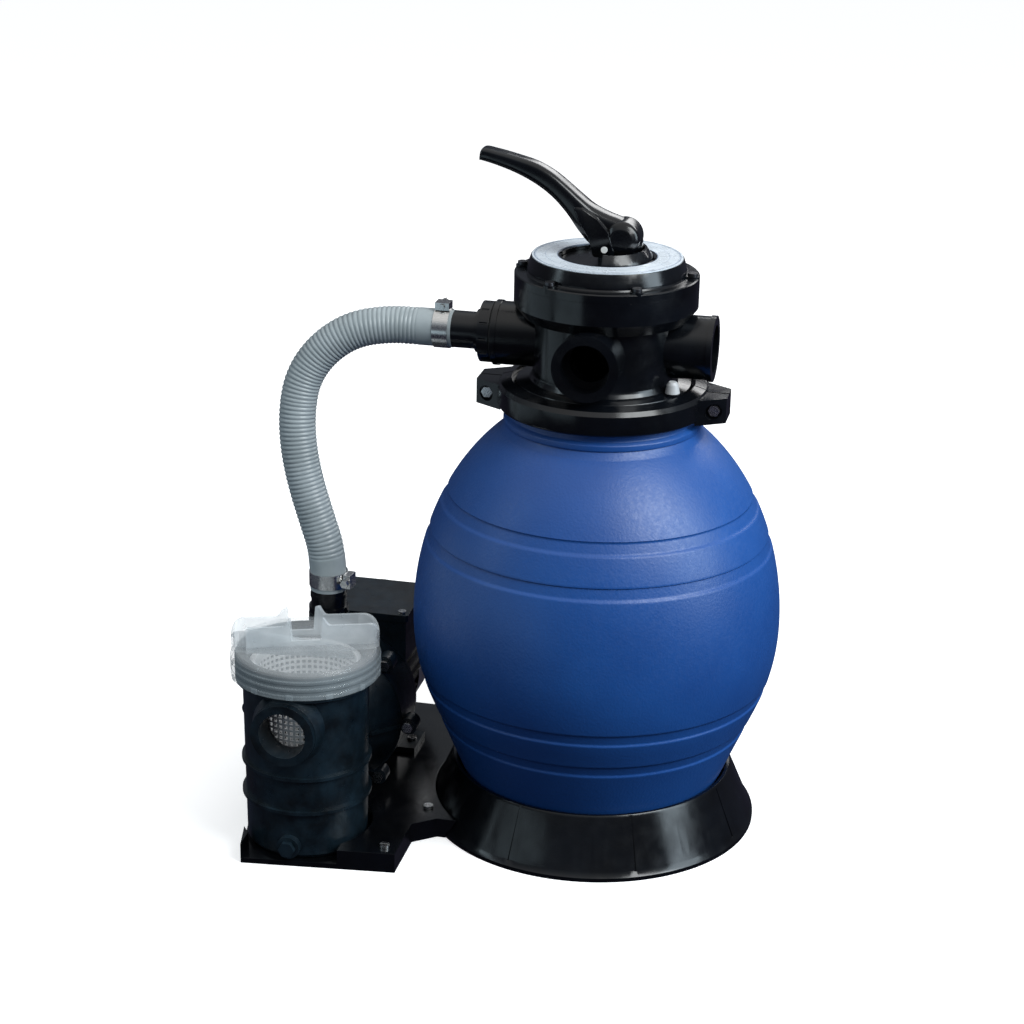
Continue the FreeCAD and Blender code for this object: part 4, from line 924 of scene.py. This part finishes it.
# ---- studio -----------------------------------------------------------------------
def make_floor():
    mesh = bpy.data.meshes.new("floor")
    half = 14.0
    corners = [(-half, -half, 0), (half, -half, 0), (half, half, 0), (-half, half, 0)]
    mesh.from_pydata(corners, [], [(0, 1, 2, 3)])
    floor = bpy.data.objects.new("floor", mesh)
    SCENE.collection.objects.link(floor)
    material, tree, bsdf = shader("floor_pale")
    bsdf.inputs["Base Color"].default_value = (0.88, 0.88, 0.88, 1.0)
    bsdf.inputs["Roughness"].default_value = 0.9
    bsdf.inputs["Specular IOR Level"].default_value = 0.1
    bsdf.inputs["Emission Color"].default_value = (1.0, 1.0, 1.0, 1.0)
    bsdf.inputs["Emission Strength"].default_value = 0.5
    mesh.materials.append(material)
    floor.visible_glossy = False
    floor.visible_diffuse = False


def area_light(name, place, aim, size, power, colour=(1, 1, 1)):
    data = bpy.data.lights.new(name, "AREA")
    data.shape = "RECTANGLE"
    data.size = size[0]
    data.size_y = size[1]
    data.energy = power
    data.color = colour
    light = bpy.data.objects.new(name, data)
    light.location = place
    light.rotation_euler = (Vector(aim) - Vector(place)).to_track_quat("-Z", "Y").to_euler()
    SCENE.collection.objects.link(light)


def make_world():
    """A soft tent: bright overhead, darker towards the ground."""
    world = bpy.data.worlds.new("studio")
    SCENE.world = world
    world.use_nodes = True
    tree = world.node_tree
    place = tree.nodes.new("ShaderNodeTexCoord")
    parts = tree.nodes.new("ShaderNodeSeparateXYZ")
    tree.links.new(place.outputs["Generated"], parts.inputs["Vector"])
    height = between(tree, parts.outputs["Z"], 0.0, 1.0, -0.25, 0.85)
    stops = [
        (0.0, (0.03, 0.028, 0.045)), (0.55, (0.12, 0.13, 0.155)), (0.75, (0.42, 0.46, 0.50)),
        (1.0, (1.0, 1.0, 1.0)),
    ]
    tree.links.new(ramp(tree, height, stops), tree.nodes["Background"].inputs["Color"])
    tree.nodes["Background"].inputs["Strength"].default_value = 0.85


def make_light():
    make_world()
    centre = (-0.08, 0, 0.3)
    area_light("key", (1.5, -0.9, 2.0), centre, (1.3, 1.3), 50, (0.95, 0.99, 1.0))
    area_light("side", (-1.9, -0.9, 1.2), centre, (0.28, 1.3), 4, (0.72, 0.90, 1.0))
    area_light("rim", (0.6, 2.0, 1.5), centre, (1.6, 0.8), 16)
    area_light("window", (1.7, -0.35, 0.95), centre, (0.8, 1.2), 18, (0.75, 0.90, 1.0))
    area_light("low_left", (-1.05, -0.15, 0.22), (0, 0, 0.4), (0.9, 0.4), 0.6, (0.70, 0.90, 1.0))
    area_light("low_front", (-0.75, -1.0, 0.22), (-0.1, 0, 0.45), (0.8, 0.4), 0.8, (0.70, 0.90, 1.0))
    SCENE.view_settings.view_transform = "Standard"


# ---- all --------------------------------------------------------------------------
make_camera()
MATERIALS = make_materials()
make_hose(MATERIALS)
dress_cad(MATERIALS)
make_tank(MATERIALS)
make_lever(MATERIALS)
make_strainer_lid(MATERIALS)
make_basket(MATERIALS)
make_rating_plate(MATERIALS)
make_softened(MATERIALS)
make_floor()
make_light()
